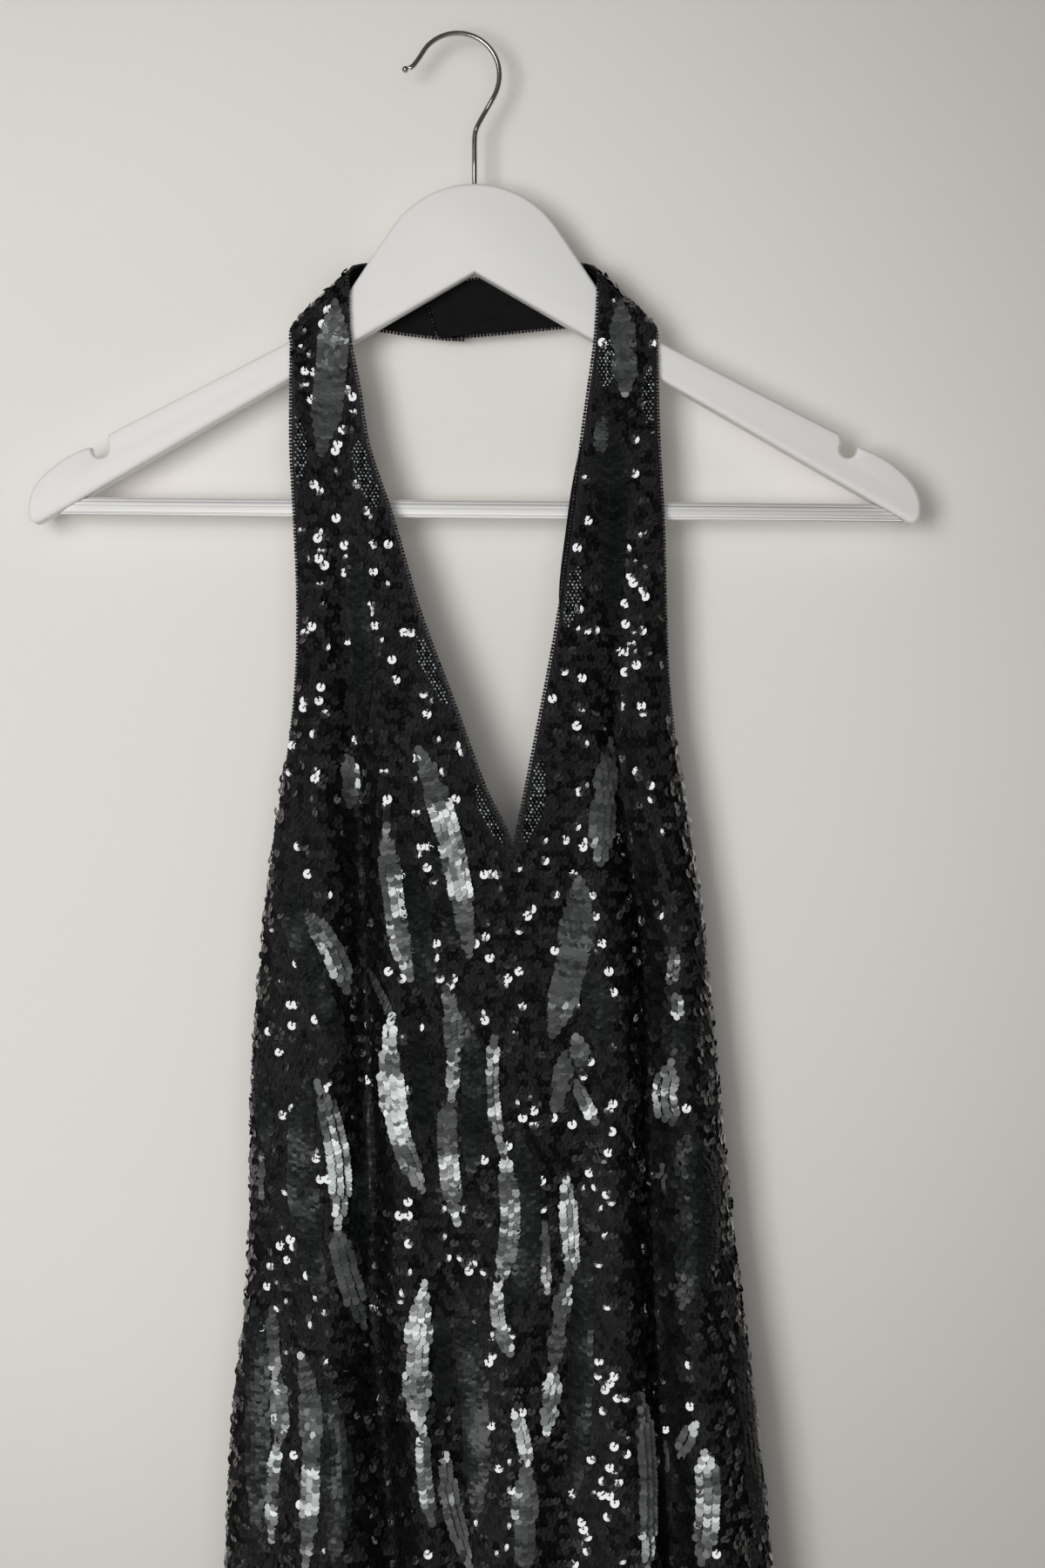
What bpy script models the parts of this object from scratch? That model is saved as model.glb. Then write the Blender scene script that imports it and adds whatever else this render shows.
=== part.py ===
"""Beaded halter evening dress on its wooden hanger, at its real size, in metres.

The origin is the highest point inside the hook's bend, where a rail bears.
+X is to the right seen from the front, the front faces -Y, and +Z is up.
The tables hold millimetres and degrees, and each is read as a smooth curve.
"""

import math

import bmesh
import bpy
import numpy as np
from mathutils import Matrix, Vector

MM = 0.001

# Hanger
STEM_X = 8.2 * MM
WOOD_THICK = 12.0 * MM
WOOD_EDGE_ROUND = 2.0 * MM
CROWN_TOP_Z = -72.8 * MM
CROWN_RADIUS = 48.0 * MM
CROWN_SLOPE = math.radians(56.0)
ARM_TOP_SLOPE = math.radians(27.1)
ARM_TOP_POINT = (90.5 * MM, -149.8 * MM)
SHOULDER_FILLET = 40.0 * MM
APEX_Z = -115.4 * MM
ARM_UNDER_SLOPE = math.radians(30.0)
NOTCH_CENTRE = (180.8 * MM, -201.2 * MM)
NOTCH_RADIUS = 4.2 * MM
NOTCH_ARC = (math.radians(140.0), math.radians(370.0))
NOTCH_MOUTH_LEFT = 176.8 * MM
TIP_START = (187.6 * MM, -200.6 * MM)
TIP_START_FALL = math.radians(20.0)
TIP_BENDS = ((58.0 * MM, math.radians(26.0)), (22.0 * MM, math.radians(44.0)))
TIP_CORNER_RADIUS = 4.0 * MM

# Trouser bar
BAR_Z = -229.8 * MM
BAR_TILT = math.radians(0.5)
BAR_RADIUS = 4.3 * MM
BAR_LENGTH = 440.0 * MM
BAR_GROOVES = 12
BAR_GROOVE_DEPTH = 0.5 * MM

# Hook
WIRE_RADIUS = 1.3 * MM
HOOK_RADIUS = 20.3 * MM
HOOK_CENTRE_Z = WIRE_RADIUS - HOOK_RADIUS
BALL_RADIUS = 1.8 * MM
BALL_TURNS = np.radians([4, 35, 67, 99, 130, 162])
STEM_SUNK = 16.0 * MM

# Cloth
CLOTH = 1.8 * MM
LINING = 0.9 * MM
SEAM_GAP = 0.3 * MM
HEM_Z = -1520.0 * MM
NECK_POINT_Z = -400.0 * MM
STRAP_ROW_Z = -195.0 * MM
SIDE_SEAM = math.radians(105.0)
SIDE_SEAM_TOP_Z = -424.0 * MM
BACK_DIP = 66.0 * MM
BACK_DIP_ROWS = 9
BACK_DIP_ROUNDNESS = 1.3
FACING_BOTTOM_Z = -300.0 * MM

# Where each strap crosses the arm: the line along the top of the wood, from the stem outwards
CROSSING_INNER = (60.5 * MM, -123.4 * MM)
CROSSING_OUTER = (88.5 * MM, -149.5 * MM)
CROSSING_HALF_DEPTH = 8.4 * MM
CROSSING_HEIGHT = 5.8 * MM
CROSSING_SQUARENESS = 3.0
CROSSING_DRIFT = 19.0 * MM

# How finely things are divided
HALF_COLUMNS = 16
BACK_COLUMNS = 13
BAND_ROWS = 10
BAND_EVERY = 2
TURN_WEIGHT = 12.0 * MM
FINE_STEPS = 320
CROWN_STEPS = 9
FILLET_STEPS = 5
NOTCH_STEPS = 8
TIP_STEPS = 5
CORNER_STEPS = 3
DRILL_SIDES = 12
PATH_STEPS = 3
SIDES_PER_GROOVE = 4
TINY = 1e-5


class Curves:
    """A table of named columns against height, in millimetres or degrees, read as smooth curves."""

    def __init__(self, names, rows, unit=MM):
        rows = np.array(sorted(rows), float)
        self.height = rows[:, 0] * MM
        self.columns = {name: rows[:, i] * unit for i, name in enumerate(names) if i}

    def at(self, name, z):
        values = self.columns[name]
        slopes = np.gradient(values, self.height)
        climbs = np.diff(values)
        slopes[1:-1][climbs[1:] * climbs[:-1] <= 0] = 0
        z = np.clip(z, self.height[0], self.height[-1])
        i = np.clip(np.searchsorted(self.height, z) - 1, 0, len(values) - 2)
        step = self.height[i + 1] - self.height[i]
        f = (z - self.height[i]) / step
        rise = values[i + 1] - values[i]
        bend = f * (1 - f) * ((1 - f) * (slopes[i] * step - rise) - f * (slopes[i + 1] * step - rise))
        return values[i] + f * rise + bend


# The outline from the front, and how deep the hollow dress is before and behind its middle plane
BODY = Curves(
    ("z", "left", "right", "front", "back", "middle_y"),
    [
        (-120, -80.1, 94.8, 0.0, 0.0, -8.4),
        (-150, -80.1, 96.0, 0.1, 0.1, -8.4),
        (-195, -80.2, 97.0, 3.5, 0.5, -7.8),
        (-237, -78.1, 99.1, 6.0, 2.0, -7.4),
        (-279, -76.5, 100.0, 10.0, 5.0, -6.6),
        (-321, -77.8, 101.7, 13.0, 8.0, -6.0),
        (-363, -83.8, 107.6, 17.0, 11.0, -5.2),
        (-405, -89.7, 113.9, 19.0, 13.0, -5.0),
        (-447, -93.9, 118.1, 21.0, 15.0, -5.0),
        (-489, -97.3, 122.8, 23.0, 17.0, -5.0),
        (-531, -98.5, 127.0, 24.5, 19.0, -5.2),
        (-573, -98.9, 131.2, 25.5, 20.0, -5.4),
        (-615, -101.0, 136.2, 26.5, 21.0, -5.7),
        (-657, -106.0, 142.0, 28.5, 22.5, -6.1),
        (-699, -108.5, 146.6, 30.0, 24.0, -6.6),
        (-741, -110.0, 150.8, 32.0, 25.0, -7.0),
        (-900, -124.0, 166.0, 40.0, 30.0, -8.0),
        (-1150, -146.0, 190.0, 54.0, 35.0, -11.0),
        (-1520, -172.0, 228.0, 72.0, 40.0, -14.0),
    ],
)

# The edges of the V, and below its point the two sides of the seam down the middle of the front
NECKLINE = Curves(
    ("z", "left", "right"),
    [
        (-120, -52.9, 68.4),
        (-145, -52.6, 67.3),
        (-174, -47.3, 63.6),
        (-195, -44.2, 60.7),
        (-237, -30.8, 55.6),
        (-279, -18.6, 49.7),
        (-321, -3.0, 42.2),
        (-363, 12.4, 34.0),
        (-400, 27.05, 27.35),
        (-470, 27.05, 27.35),
        (-1520, 27.05, 27.35),
    ],
)

# How far round the body the front's outer edge lies, from the middle of the front
FRONT_EDGE = Curves(
    ("z", "angle"),
    [(-120, 84.0), (-300, 84.0), (-335, 89.0), (-380, 98.0), (-424, 105.0), (-480, 105.0), (-1520, 105.0)],
    unit=math.radians(1.0),
)


def furrow(half_width_top, half_width_hem, rows):
    """One lengthwise fold: where its bottom runs and how deep it is, at each height."""
    return {
        "path": Curves(("z", "x", "depth"), rows),
        "width": Curves(("z", "half"), [(-190, half_width_top), (-1520, half_width_hem)]),
    }


FRONT_FURROWS = [
    furrow(9.0, 17.0, [(-560, -83.0, 0.0), (-680, -86.0, 2.5), (-739, -88.0, 4.0), (-1520, -134.0, 14.0)]),
    furrow(
        7.0,
        15.0,
        [
            (-195, -59.0, 0.0),
            (-237, -55.8, 1.6),
            (-279, -53.8, 4.0),
            (-344, -50.2, 8.0),
            (-395, -48.0, 10.5),
            (-446, -45.7, 11.0),
            (-530, -43.5, 11.5),
            (-612, -41.2, 12.0),
            (-694, -34.7, 13.5),
            (-741, -31.4, 14.5),
            (-1520, -52.0, 22.0),
        ],
    ),
    furrow(8.0, 16.0, [(-560, 4.0, 0.0), (-650, 4.5, 3.0), (-739, 7.0, 4.5), (-1520, 9.0, 17.0)]),
    furrow(9.0, 16.0, [(-500, 60.0, 0.0), (-560, 58.0, 2.5), (-739, 53.3, 4.5), (-1520, 82.0, 18.0)]),
    furrow(
        7.0,
        15.0,
        [
            (-195, 80.5, 0.0),
            (-237, 80.0, 1.6),
            (-279, 79.0, 3.5),
            (-321, 78.2, 6.5),
            (-363, 80.4, 9.5),
            (-395, 85.0, 12.0),
            (-426, 90.4, 14.0),
            (-471, 93.6, 15.0),
            (-530, 95.2, 15.0),
            (-612, 97.9, 14.5),
            (-694, 102.8, 15.0),
            (-741, 106.4, 15.5),
            (-1520, 161.0, 22.0),
        ],
    ),
]

BACK_FURROWS = [
    furrow(10.0, 15.0, [(-470, -62.0, 0.0), (-640, -66.0, 5.0), (-1520, -110.0, 14.0)]),
    furrow(10.0, 15.0, [(-520, -20.0, 0.0), (-700, -22.0, 5.0), (-1520, -44.0, 13.0)]),
    furrow(10.0, 15.0, [(-440, 22.0, 0.0), (-580, 20.0, 4.0), (-1520, 26.0, 15.0)]),
    furrow(10.0, 15.0, [(-540, 62.0, 0.0), (-720, 66.0, 5.0), (-1520, 94.0, 13.0)]),
    furrow(10.0, 15.0, [(-470, 92.0, 0.0), (-660, 104.0, 5.0), (-1520, 162.0, 14.0)]),
]

FURROW_RIDGE = 0.22
FURROW_RIDGE_AT = 2.0


def furrow_depth(furrows, x, z):
    """How far the cloth is pushed in at x by these folds, each with a low ridge on either side."""
    total = np.zeros(np.broadcast(x, z).shape)
    for fold in furrows:
        q = (x - fold["path"].at("x", z)) / fold["width"].at("half", z)
        ridges = np.exp(-((q - FURROW_RIDGE_AT) ** 2)) + np.exp(-((q + FURROW_RIDGE_AT) ** 2))
        total = total + fold["path"].at("depth", z) * (np.exp(-(q**2)) - FURROW_RIDGE * ridges)
    return total


def body_middle(z):
    return (BODY.at("left", z) + BODY.at("right", z)) / 2


def body_half(z):
    return (BODY.at("right", z) - BODY.at("left", z)) / 2


def body_point(angle, z):
    """The middle of the cloth at an angle round the body (0 is the middle of the front, + is right)."""
    angle, z = np.broadcast_arrays(np.asarray(angle, float), np.asarray(z, float))
    half = body_half(z)
    in_front = np.cos(angle) > 0
    depth = np.where(in_front, BODY.at("front", z), BODY.at("back", z))
    x = body_middle(z) + half * np.sin(angle)
    y = BODY.at("middle_y", z) - depth * np.cos(angle)
    out_x, out_y = depth * np.sin(angle), -half * np.cos(angle)
    size = np.maximum(np.hypot(out_x, out_y), 1e-6)
    push = np.where(in_front, furrow_depth(FRONT_FURROWS, x, z), furrow_depth(BACK_FURROWS, x, z))
    return np.stack([x - out_x / size * push, y - out_y / size * push, z], axis=-1)


def girth_per_radian(angle, z):
    """How far the cloth runs for each radian round the body, at this angle and height."""
    return np.linalg.norm(body_point(angle + TINY, z) - body_point(angle - TINY, z)) / (2 * TINY)


def angle_at(x, z):
    """The angle on the front whose plain ring passes through x."""
    return np.arcsin(np.clip((x - body_middle(z)) / body_half(z), -1, 1))


def column_angles(z, start, end, count):
    """Angles from start to end at one height, closer together where the cloth turns sharply."""
    fine = np.linspace(start, end, FINE_STEPS + 1)
    steps = np.diff(body_point(fine, z)[:, :2], axis=0)
    heading = np.unwrap(np.arctan2(steps[:, 1], steps[:, 0]))
    turning = np.abs(np.gradient(heading))
    along = np.concatenate([[0], np.cumsum(np.hypot(*steps.T) + TURN_WEIGHT * turning)])
    return np.interp(np.linspace(0, along[-1], count + 1), along, fine)


def front_angles(side, z):
    """The columns of one half of the front at one height, from its outer edge to the V or the middle."""
    sign = -1 if side == "left" else 1
    outer = sign * FRONT_EDGE.at("angle", z)
    inner = angle_at(NECKLINE.at(side, z), z)
    return column_angles(z, outer, inner, HALF_COLUMNS)


def crossing(side, share):
    """Points on the line where a strap crosses the arm (share 0 at the V's edge, 1 at the outer edge)."""
    sign = -1 if side == "left" else 1
    z = CROSSING_INNER[1] + share * (CROSSING_OUTER[1] - CROSSING_INNER[1])
    inner = NECKLINE.at(side, z)
    outer = body_middle(z) + sign * body_half(z) * np.sin(FRONT_EDGE.at("angle", z))
    return np.stack([inner + share * (outer - inner), np.zeros_like(z), z], axis=-1)


def crossing_axes(side):
    """The direction up the crossing line, towards the stem, and the one square to it, off the wood."""
    sign = -1 if side == "left" else 1
    run = CROSSING_OUTER[0] - CROSSING_INNER[0]
    fall = CROSSING_INNER[1] - CROSSING_OUTER[1]
    length = math.hypot(run, fall)
    inwards = np.array([-sign * run, 0.0, fall]) / length
    up = np.array([sign * fall, 0.0, run]) / length
    return inwards, up


FLAT_ROWS = np.concatenate(
    [
        np.linspace(HEM_Z, -738 * MM, 12, endpoint=False),
        np.linspace(-738 * MM, SIDE_SEAM_TOP_Z, 11, endpoint=False),
        [SIDE_SEAM_TOP_Z, NECK_POINT_Z],
        np.linspace(-375 * MM, STRAP_ROW_Z, 9),
    ]
)
SLANTED_SHARES = (0.25, 0.5, 0.75)
WRAP_ANGLES = np.radians([-90, -66, -45, -22, 0, 22, 45, 66])


def strap_shares(side):
    """Where each column of a strap lies across it, at the strap's last level row."""
    x = body_point(front_angles(side, STRAP_ROW_Z), STRAP_ROW_Z)[:, 0]
    return (x - x[-1]) / (x[0] - x[-1])


def slanted_row(side, share):
    """A row of the strap between its last level row and the crossing, at this share of the way up."""
    across = strap_shares(side)
    top_z = crossing(side, across)[:, 2]
    z = STRAP_ROW_Z + share * (top_z - STRAP_ROW_Z)
    sign = -1 if side == "left" else 1
    inner = NECKLINE.at(side, z)
    outer = body_middle(z) + sign * body_half(z) * np.sin(FRONT_EDGE.at("angle", z))
    return body_point(angle_at(inner + across * (outer - inner), z), z)


def wrap_row(side, turn):
    """A row of the strap as it turns over the arm: turn is -90 degrees in front and 90 behind.

    The strap meets the arm at a slant, so as it turns it also drifts inwards along the arm.
    """
    inwards, up = crossing_axes(side)
    power = 2 / CROSSING_SQUARENESS
    height = CROSSING_HEIGHT * abs(math.cos(turn)) ** power
    depth = math.copysign(CROSSING_HALF_DEPTH * abs(math.sin(turn)) ** power, turn)
    drift = CROSSING_DRIFT * (turn / math.pi + 0.5)
    return crossing(side, strap_shares(side)) + height * up + drift * inwards + np.array([0, depth, 0])


def band_heading(side):
    """The way a strap runs once it is behind the arm: its way up the front, turned over the arm."""
    inwards, up = crossing_axes(side)
    return inwards * inwards[2] - up * up[2]


def grid_normals(points, side):
    """Outward unit normals of one side's grid of points, whose columns run in from its outer edge."""
    along, across = np.gradient(points, axis=0), np.gradient(points, axis=1)
    normals = np.cross(across, along) * (1 if side == "left" else -1)
    return normals / np.linalg.norm(normals, axis=-1, keepdims=True)


def body_normals(angle, z):
    """Unit normals of the body's surface itself, so that pieces that meet at a seam agree there."""
    across = body_point(angle + TINY, z) - body_point(angle - TINY, z)
    along = body_point(angle, z + TINY) - body_point(angle, z - TINY)
    normals = np.cross(across, along)
    return normals / np.linalg.norm(normals, axis=-1, keepdims=True)


def half_front(side):
    """The middle of the cloth of one half of the front, hem first, and its outward normals."""
    rows = [body_point(front_angles(side, z), z) for z in FLAT_ROWS]
    rows += [slanted_row(side, share) for share in SLANTED_SHARES]
    rows += [wrap_row(side, turn) for turn in WRAP_ANGLES]
    rows.append(wrap_row(side, math.pi / 2) - SEAM_GAP / 2 * band_heading(side))
    points = np.array(rows)
    normals = grid_normals(points, side)
    for r, z in enumerate(FLAT_ROWS):
        normals[r] = body_normals(front_angles(side, z), z)
    return points, normals


# The neck band behind the hanger: how each half ends at the lap, and how far back it lies there
BAND_ENDS = {
    "left": {"upper": (2.0, -119.4), "lower": (3.0, -144.9), "y": 12.6},
    "right": {"upper": (-17.2, -119.2), "lower": (-9.2, -144.6), "y": 8.8},
}
BAND_START_PULL = 30.0 * MM
BAND_END_PULL = 60.0 * MM
BAND_STEP_BACK_BY = 0.62


def band_row(side, share):
    """A row of the neck band, from the crossing (share 0) to the lap (share 1)."""
    across = strap_shares(side)[:, None]
    end = BAND_ENDS[side]
    heading = band_heading(side)
    start = wrap_row(side, math.pi / 2) + SEAM_GAP / 2 * heading
    upper, lower = (np.array([end[k][0], 0, end[k][1]]) * MM for k in ("upper", "lower"))
    stop = upper + across * (lower - upper)
    towards_lap = np.array([1.0 if side == "left" else -1.0, 0, -0.02])
    s = share
    points = (
        (2 * s**3 - 3 * s**2 + 1) * start
        + (s**3 - 2 * s**2 + s) * heading * BAND_START_PULL
        + (3 * s**2 - 2 * s**3) * stop
        + (s**3 - s**2) * towards_lap * BAND_END_PULL
    )
    f = min(s / BAND_STEP_BACK_BY, 1.0)
    ease = f * f * (3 - 2 * f)
    points[:, 1] = CROSSING_HALF_DEPTH + ease * (end["y"] * MM - CROSSING_HALF_DEPTH)
    return points


def neck_band(side):
    return np.array([band_row(side, s) for s in np.linspace(0, 1, BAND_ROWS + 1)])


def wall(name, points, normals, faces, thickness, material):
    """A closed wall of even thickness about a sheet of points and faces, as an object."""
    mesh = bmesh.new()
    outer = [mesh.verts.new(p) for p in points + normals * thickness / 2]
    inner = [mesh.verts.new(p) for p in points - normals * thickness / 2]
    edges = {}
    for face in faces:
        mesh.faces.new([outer[i] for i in face])
        mesh.faces.new([inner[i] for i in reversed(face)])
        for a, b in zip(face, face[1:] + face[:1]):
            edges[a, b] = True
    for a, b in edges:
        if (b, a) not in edges:
            mesh.faces.new([outer[b], outer[a], inner[a], inner[b]])
    return finish_mesh(name, mesh, material)


def finish_mesh(name, mesh, material):
    """Turns a bmesh into an object with its material, shaded smooth but for its sharp edges."""
    data = bpy.data.meshes.new(name)
    mesh.to_mesh(data)
    mesh.free()
    data.materials.append(material)
    data.shade_smooth()
    data.set_sharp_from_angle(angle=math.radians(40.0))
    thing = bpy.data.objects.new(name, data)
    bpy.context.scene.collection.objects.link(thing)
    return thing


def side_faces(points, side):
    """The quads of one side's grid of points, wound so that they face out."""
    rows, width = points.shape[:2]
    corners = [r * width + c for r in range(rows - 1) for c in range(width - 1)]
    faces = [[i, i + 1, i + width + 1, i + width] for i in corners]
    return faces if side == "left" else [face[::-1] for face in faces]


def front(side, material):
    """One half of the front, cut in one with its halter strap, open in a V down to the neck point."""
    points, normals = half_front(side)
    faces = side_faces(points, side)
    return wall("front_" + side, points.reshape(-1, 3), normals.reshape(-1, 3), faces, CLOTH, material)


def back(side, material):
    """One half of the low back, from its side seam to the middle, its top edge dipping to the middle."""
    heights = FLAT_ROWS[FLAT_ROWS <= SIDE_SEAM_TOP_Z + TINY]
    seam, middle = (2 * math.pi - SIDE_SEAM, math.pi) if side == "left" else (SIDE_SEAM, math.pi)
    towards = math.copysign(1.0, middle - seam)
    rows, normals = [], []
    for r, z in enumerate(heights):
        start = seam + towards * SEAM_GAP / girth_per_radian(seam, z)
        end = middle - towards * SEAM_GAP / 2 / girth_per_radian(middle, z)
        angles = column_angles(z, start, end, BACK_COLUMNS)
        share = max(0.0, 1 - (len(heights) - 1 - r) / BACK_DIP_ROWS)
        towards_middle = np.sin((angles - start) / (middle - start) * math.pi / 2)
        dip = BACK_DIP * share * towards_middle**BACK_DIP_ROUNDNESS
        rows.append(body_point(angles, z - dip))
        normals.append(body_normals(angles, z - dip))
    points, normals = np.array(rows), np.array(normals)
    faces = side_faces(points, "right" if side == "left" else "left")
    return wall("back_" + side, points.reshape(-1, 3), normals.reshape(-1, 3), faces, CLOTH, material)


def band(side, material):
    """One half of the neck band, from the shoulder seam behind the arm to the lap."""
    points = neck_band(side)[:, ::BAND_EVERY]
    faces = side_faces(points, side)
    normals = grid_normals(points, side).reshape(-1, 3)
    return wall("neck_band_" + side, points.reshape(-1, 3), normals, faces, CLOTH, material)


LINING_INSET = 1.2 * MM
# Where the right strap's lining rolls out past the beaded edge, and how far
LINING_ROLL = Curves(
    ("z", "out"),
    [(-300, -1.2), (-285, -0.6), (-272, 1.8), (-250, 2.8), (-215, 2.2), (-200, 0.6), (-190, -1.2), (-120, -1.2)],
)


def lining(side, material):
    """The plain lining of one strap and its half of the neck band, a thin wall inside the cloth."""
    strap, strap_normals = half_front(side)
    around = slice(int(np.argmax(FLAT_ROWS > FACING_BOTTOM_Z)), -1)
    behind = neck_band(side)
    rows = np.concatenate([strap[around], behind])
    normals = np.concatenate([strap_normals[around], grid_normals(behind, side)])
    roll = np.full(len(rows), -LINING_INSET)
    if side == "right":
        in_front = rows[:, -1, 1] < 0
        roll[in_front] = LINING_ROLL.at("out", rows[in_front, -1, 2])
    for edge, beside, out in ((0, 1, np.full(len(rows), -LINING_INSET)), (-1, -2, roll)):
        outward = rows[:, edge] - rows[:, beside]
        outward /= np.linalg.norm(outward, axis=-1, keepdims=True)
        rows[:, edge] += outward * out[:, None]
    inside = rows - normals * (CLOTH / 2 + SEAM_GAP + LINING / 2)
    faces = side_faces(rows, side)
    return wall("lining_" + side, inside.reshape(-1, 3), normals.reshape(-1, 3), faces, LINING, material)


def arc(centre, radius, start, end, steps):
    """Points on an arc in the hanger's own plane."""
    turns = np.linspace(start, end, steps + 1)
    return [(centre[0] + radius * math.cos(t), centre[1] + radius * math.sin(t)) for t in turns]


def arm_under_z(x):
    """The height of the arm's underside at this distance from the stem."""
    return APEX_Z - math.tan(ARM_UNDER_SLOPE) * x


def bends(start, fall, rows):
    """Points on a chain of arcs that curve downwards, each given as a radius and how far it turns."""
    x, z = start
    points = [start]
    for radius, turn in rows:
        step = turn / TIP_STEPS
        chord = 2 * radius * math.sin(step / 2)
        for _ in range(TIP_STEPS):
            middle = fall + step / 2
            x, z = x + chord * math.cos(middle), z - chord * math.sin(middle)
            fall += step
            points.append((x, z))
    return points


def half_outline():
    """The right half of the hanger seen from the front, from the crown's top round to the apex."""
    crown_centre = (0.0, CROWN_TOP_Z - CROWN_RADIUS)
    points = arc(crown_centre, CROWN_RADIUS, math.pi / 2, math.pi / 2 - CROWN_SLOPE, CROWN_STEPS)
    last_x, last_z = points[-1]
    crown_fall, arm_fall = math.tan(CROWN_SLOPE), math.tan(ARM_TOP_SLOPE)
    arm_top_x, arm_top_z = ARM_TOP_POINT
    crown_level = last_z + crown_fall * last_x
    arm_level = arm_top_z + arm_fall * arm_top_x
    meet_x = (crown_level - arm_level) / (crown_fall - arm_fall)
    meet_z = crown_level - crown_fall * meet_x
    turn = CROWN_SLOPE - ARM_TOP_SLOPE
    tangent = SHOULDER_FILLET * math.tan(turn / 2)
    start_x = meet_x - tangent * math.cos(CROWN_SLOPE)
    start_z = meet_z + tangent * math.sin(CROWN_SLOPE)
    centre_x = start_x + SHOULDER_FILLET * math.sin(CROWN_SLOPE)
    centre_z = start_z + SHOULDER_FILLET * math.cos(CROWN_SLOPE)
    first = 1.5 * math.pi - CROWN_SLOPE
    points += arc((centre_x, centre_z), SHOULDER_FILLET, first, first + turn, FILLET_STEPS)
    points.append((NOTCH_MOUTH_LEFT, arm_level - arm_fall * NOTCH_MOUTH_LEFT))
    points += arc(NOTCH_CENTRE, NOTCH_RADIUS, *NOTCH_ARC, NOTCH_STEPS)
    points += bends(TIP_START, TIP_START_FALL, TIP_BENDS)
    corner_x = points[-1][0] - TIP_CORNER_RADIUS
    corner_z = arm_under_z(corner_x) + TIP_CORNER_RADIUS / math.cos(ARM_UNDER_SLOPE)
    corner_end = -math.pi / 2 - ARM_UNDER_SLOPE
    points += arc((corner_x, corner_z), TIP_CORNER_RADIUS, 0.0, corner_end, CORNER_STEPS)
    points.append((0.0, APEX_Z))
    return points


def hanger_wood(material):
    """The flat wooden hanger: its outline, given its thickness, with every edge eased."""
    right = half_outline()
    outline = right + [(-x, z) for x, z in reversed(right[1:-1])]
    mesh = bmesh.new()
    ring = [mesh.verts.new((STEM_X + x, -WOOD_THICK / 2, z)) for x, z in outline]
    face = mesh.faces.new(ring)
    made = bmesh.ops.extrude_face_region(mesh, geom=[face])["geom"]
    moved = [v for v in made if isinstance(v, bmesh.types.BMVert)]
    bmesh.ops.translate(mesh, verts=moved, vec=(0, WOOD_THICK, 0))
    bmesh.ops.recalc_face_normals(mesh, faces=mesh.faces)
    rims = [e for e in mesh.edges if abs(e.verts[0].co.y - e.verts[1].co.y) < MM]
    bmesh.ops.bevel(
        mesh, geom=rims, offset=WOOD_EDGE_ROUND, segments=2, profile=0.5, affect="EDGES", clamp_overlap=True
    )
    wood = finish_mesh("hanger_wood", mesh, material)
    drill = bmesh.new()
    depth = STEM_SUNK + 2 * SEAM_GAP
    radius = WIRE_RADIUS + SEAM_GAP
    bmesh.ops.create_cone(
        drill, cap_ends=True, segments=DRILL_SIDES, radius1=radius, radius2=radius, depth=2 * depth
    )
    bmesh.ops.translate(drill, verts=drill.verts, vec=(STEM_X, 0, CROWN_TOP_Z))
    cutter = finish_mesh("stem_drill", drill, material)
    cutter.hide_render = True
    cutter.display_type = "WIRE"
    hole = wood.modifiers.new("stem_hole", "BOOLEAN")
    hole.object = cutter
    hole.solver = "EXACT"
    return wood


def hanger_bar(material):
    """The grooved bar between the arms, its ends cut to the slope of their undersides."""
    mesh = bmesh.new()
    steps = SIDES_PER_GROOVE * BAR_GROOVES
    ring = []
    for i in range(steps):
        turn = 2 * math.pi * i / steps
        radius = BAR_RADIUS - BAR_GROOVE_DEPTH * (1 if i % SIDES_PER_GROOVE == 0 else 0)
        ring.append(mesh.verts.new((-BAR_LENGTH / 2, radius * math.cos(turn), radius * math.sin(turn))))
    face = mesh.faces.new(ring)
    made = bmesh.ops.extrude_face_region(mesh, geom=[face])["geom"]
    moved = [v for v in made if isinstance(v, bmesh.types.BMVert)]
    bmesh.ops.translate(mesh, verts=moved, vec=(BAR_LENGTH, 0, 0))
    tilt = Matrix.Rotation(BAR_TILT, 3, "Y")
    bmesh.ops.rotate(mesh, verts=mesh.verts, cent=(0, 0, 0), matrix=tilt)
    bmesh.ops.translate(mesh, verts=mesh.verts, vec=(STEM_X, 0, BAR_Z))
    for sign in (-1, 1):
        normal = Vector((sign * math.sin(ARM_UNDER_SLOPE), 0, math.cos(ARM_UNDER_SLOPE)))
        on_arm = Vector((STEM_X, 0, APEX_Z)) - normal * SEAM_GAP
        geometry = mesh.verts[:] + mesh.edges[:] + mesh.faces[:]
        cut = bmesh.ops.bisect_plane(mesh, geom=geometry, plane_co=on_arm, plane_no=normal, clear_outer=True)
        edges = [e for e in cut["geom_cut"] if isinstance(e, bmesh.types.BMEdge)]
        bmesh.ops.holes_fill(mesh, edges=edges, sides=0)
    bmesh.ops.recalc_face_normals(mesh, faces=mesh.faces)
    return finish_mesh("hanger_bar", mesh, material)


# The hook's wire after its round bend, down to the stem, and before it, out to the ball
HOOK_TO_STEM = [(18.6, -27.5), (14.6, -35.0), (10.4, -42.4), (8.6, -47.0), (8.2, -52.0), (8.2, -60.0)]
HOOK_TO_BALL = [(-25.3, -16.3), (-23.2, -15.7), (-21.2, -14.2)]


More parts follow.
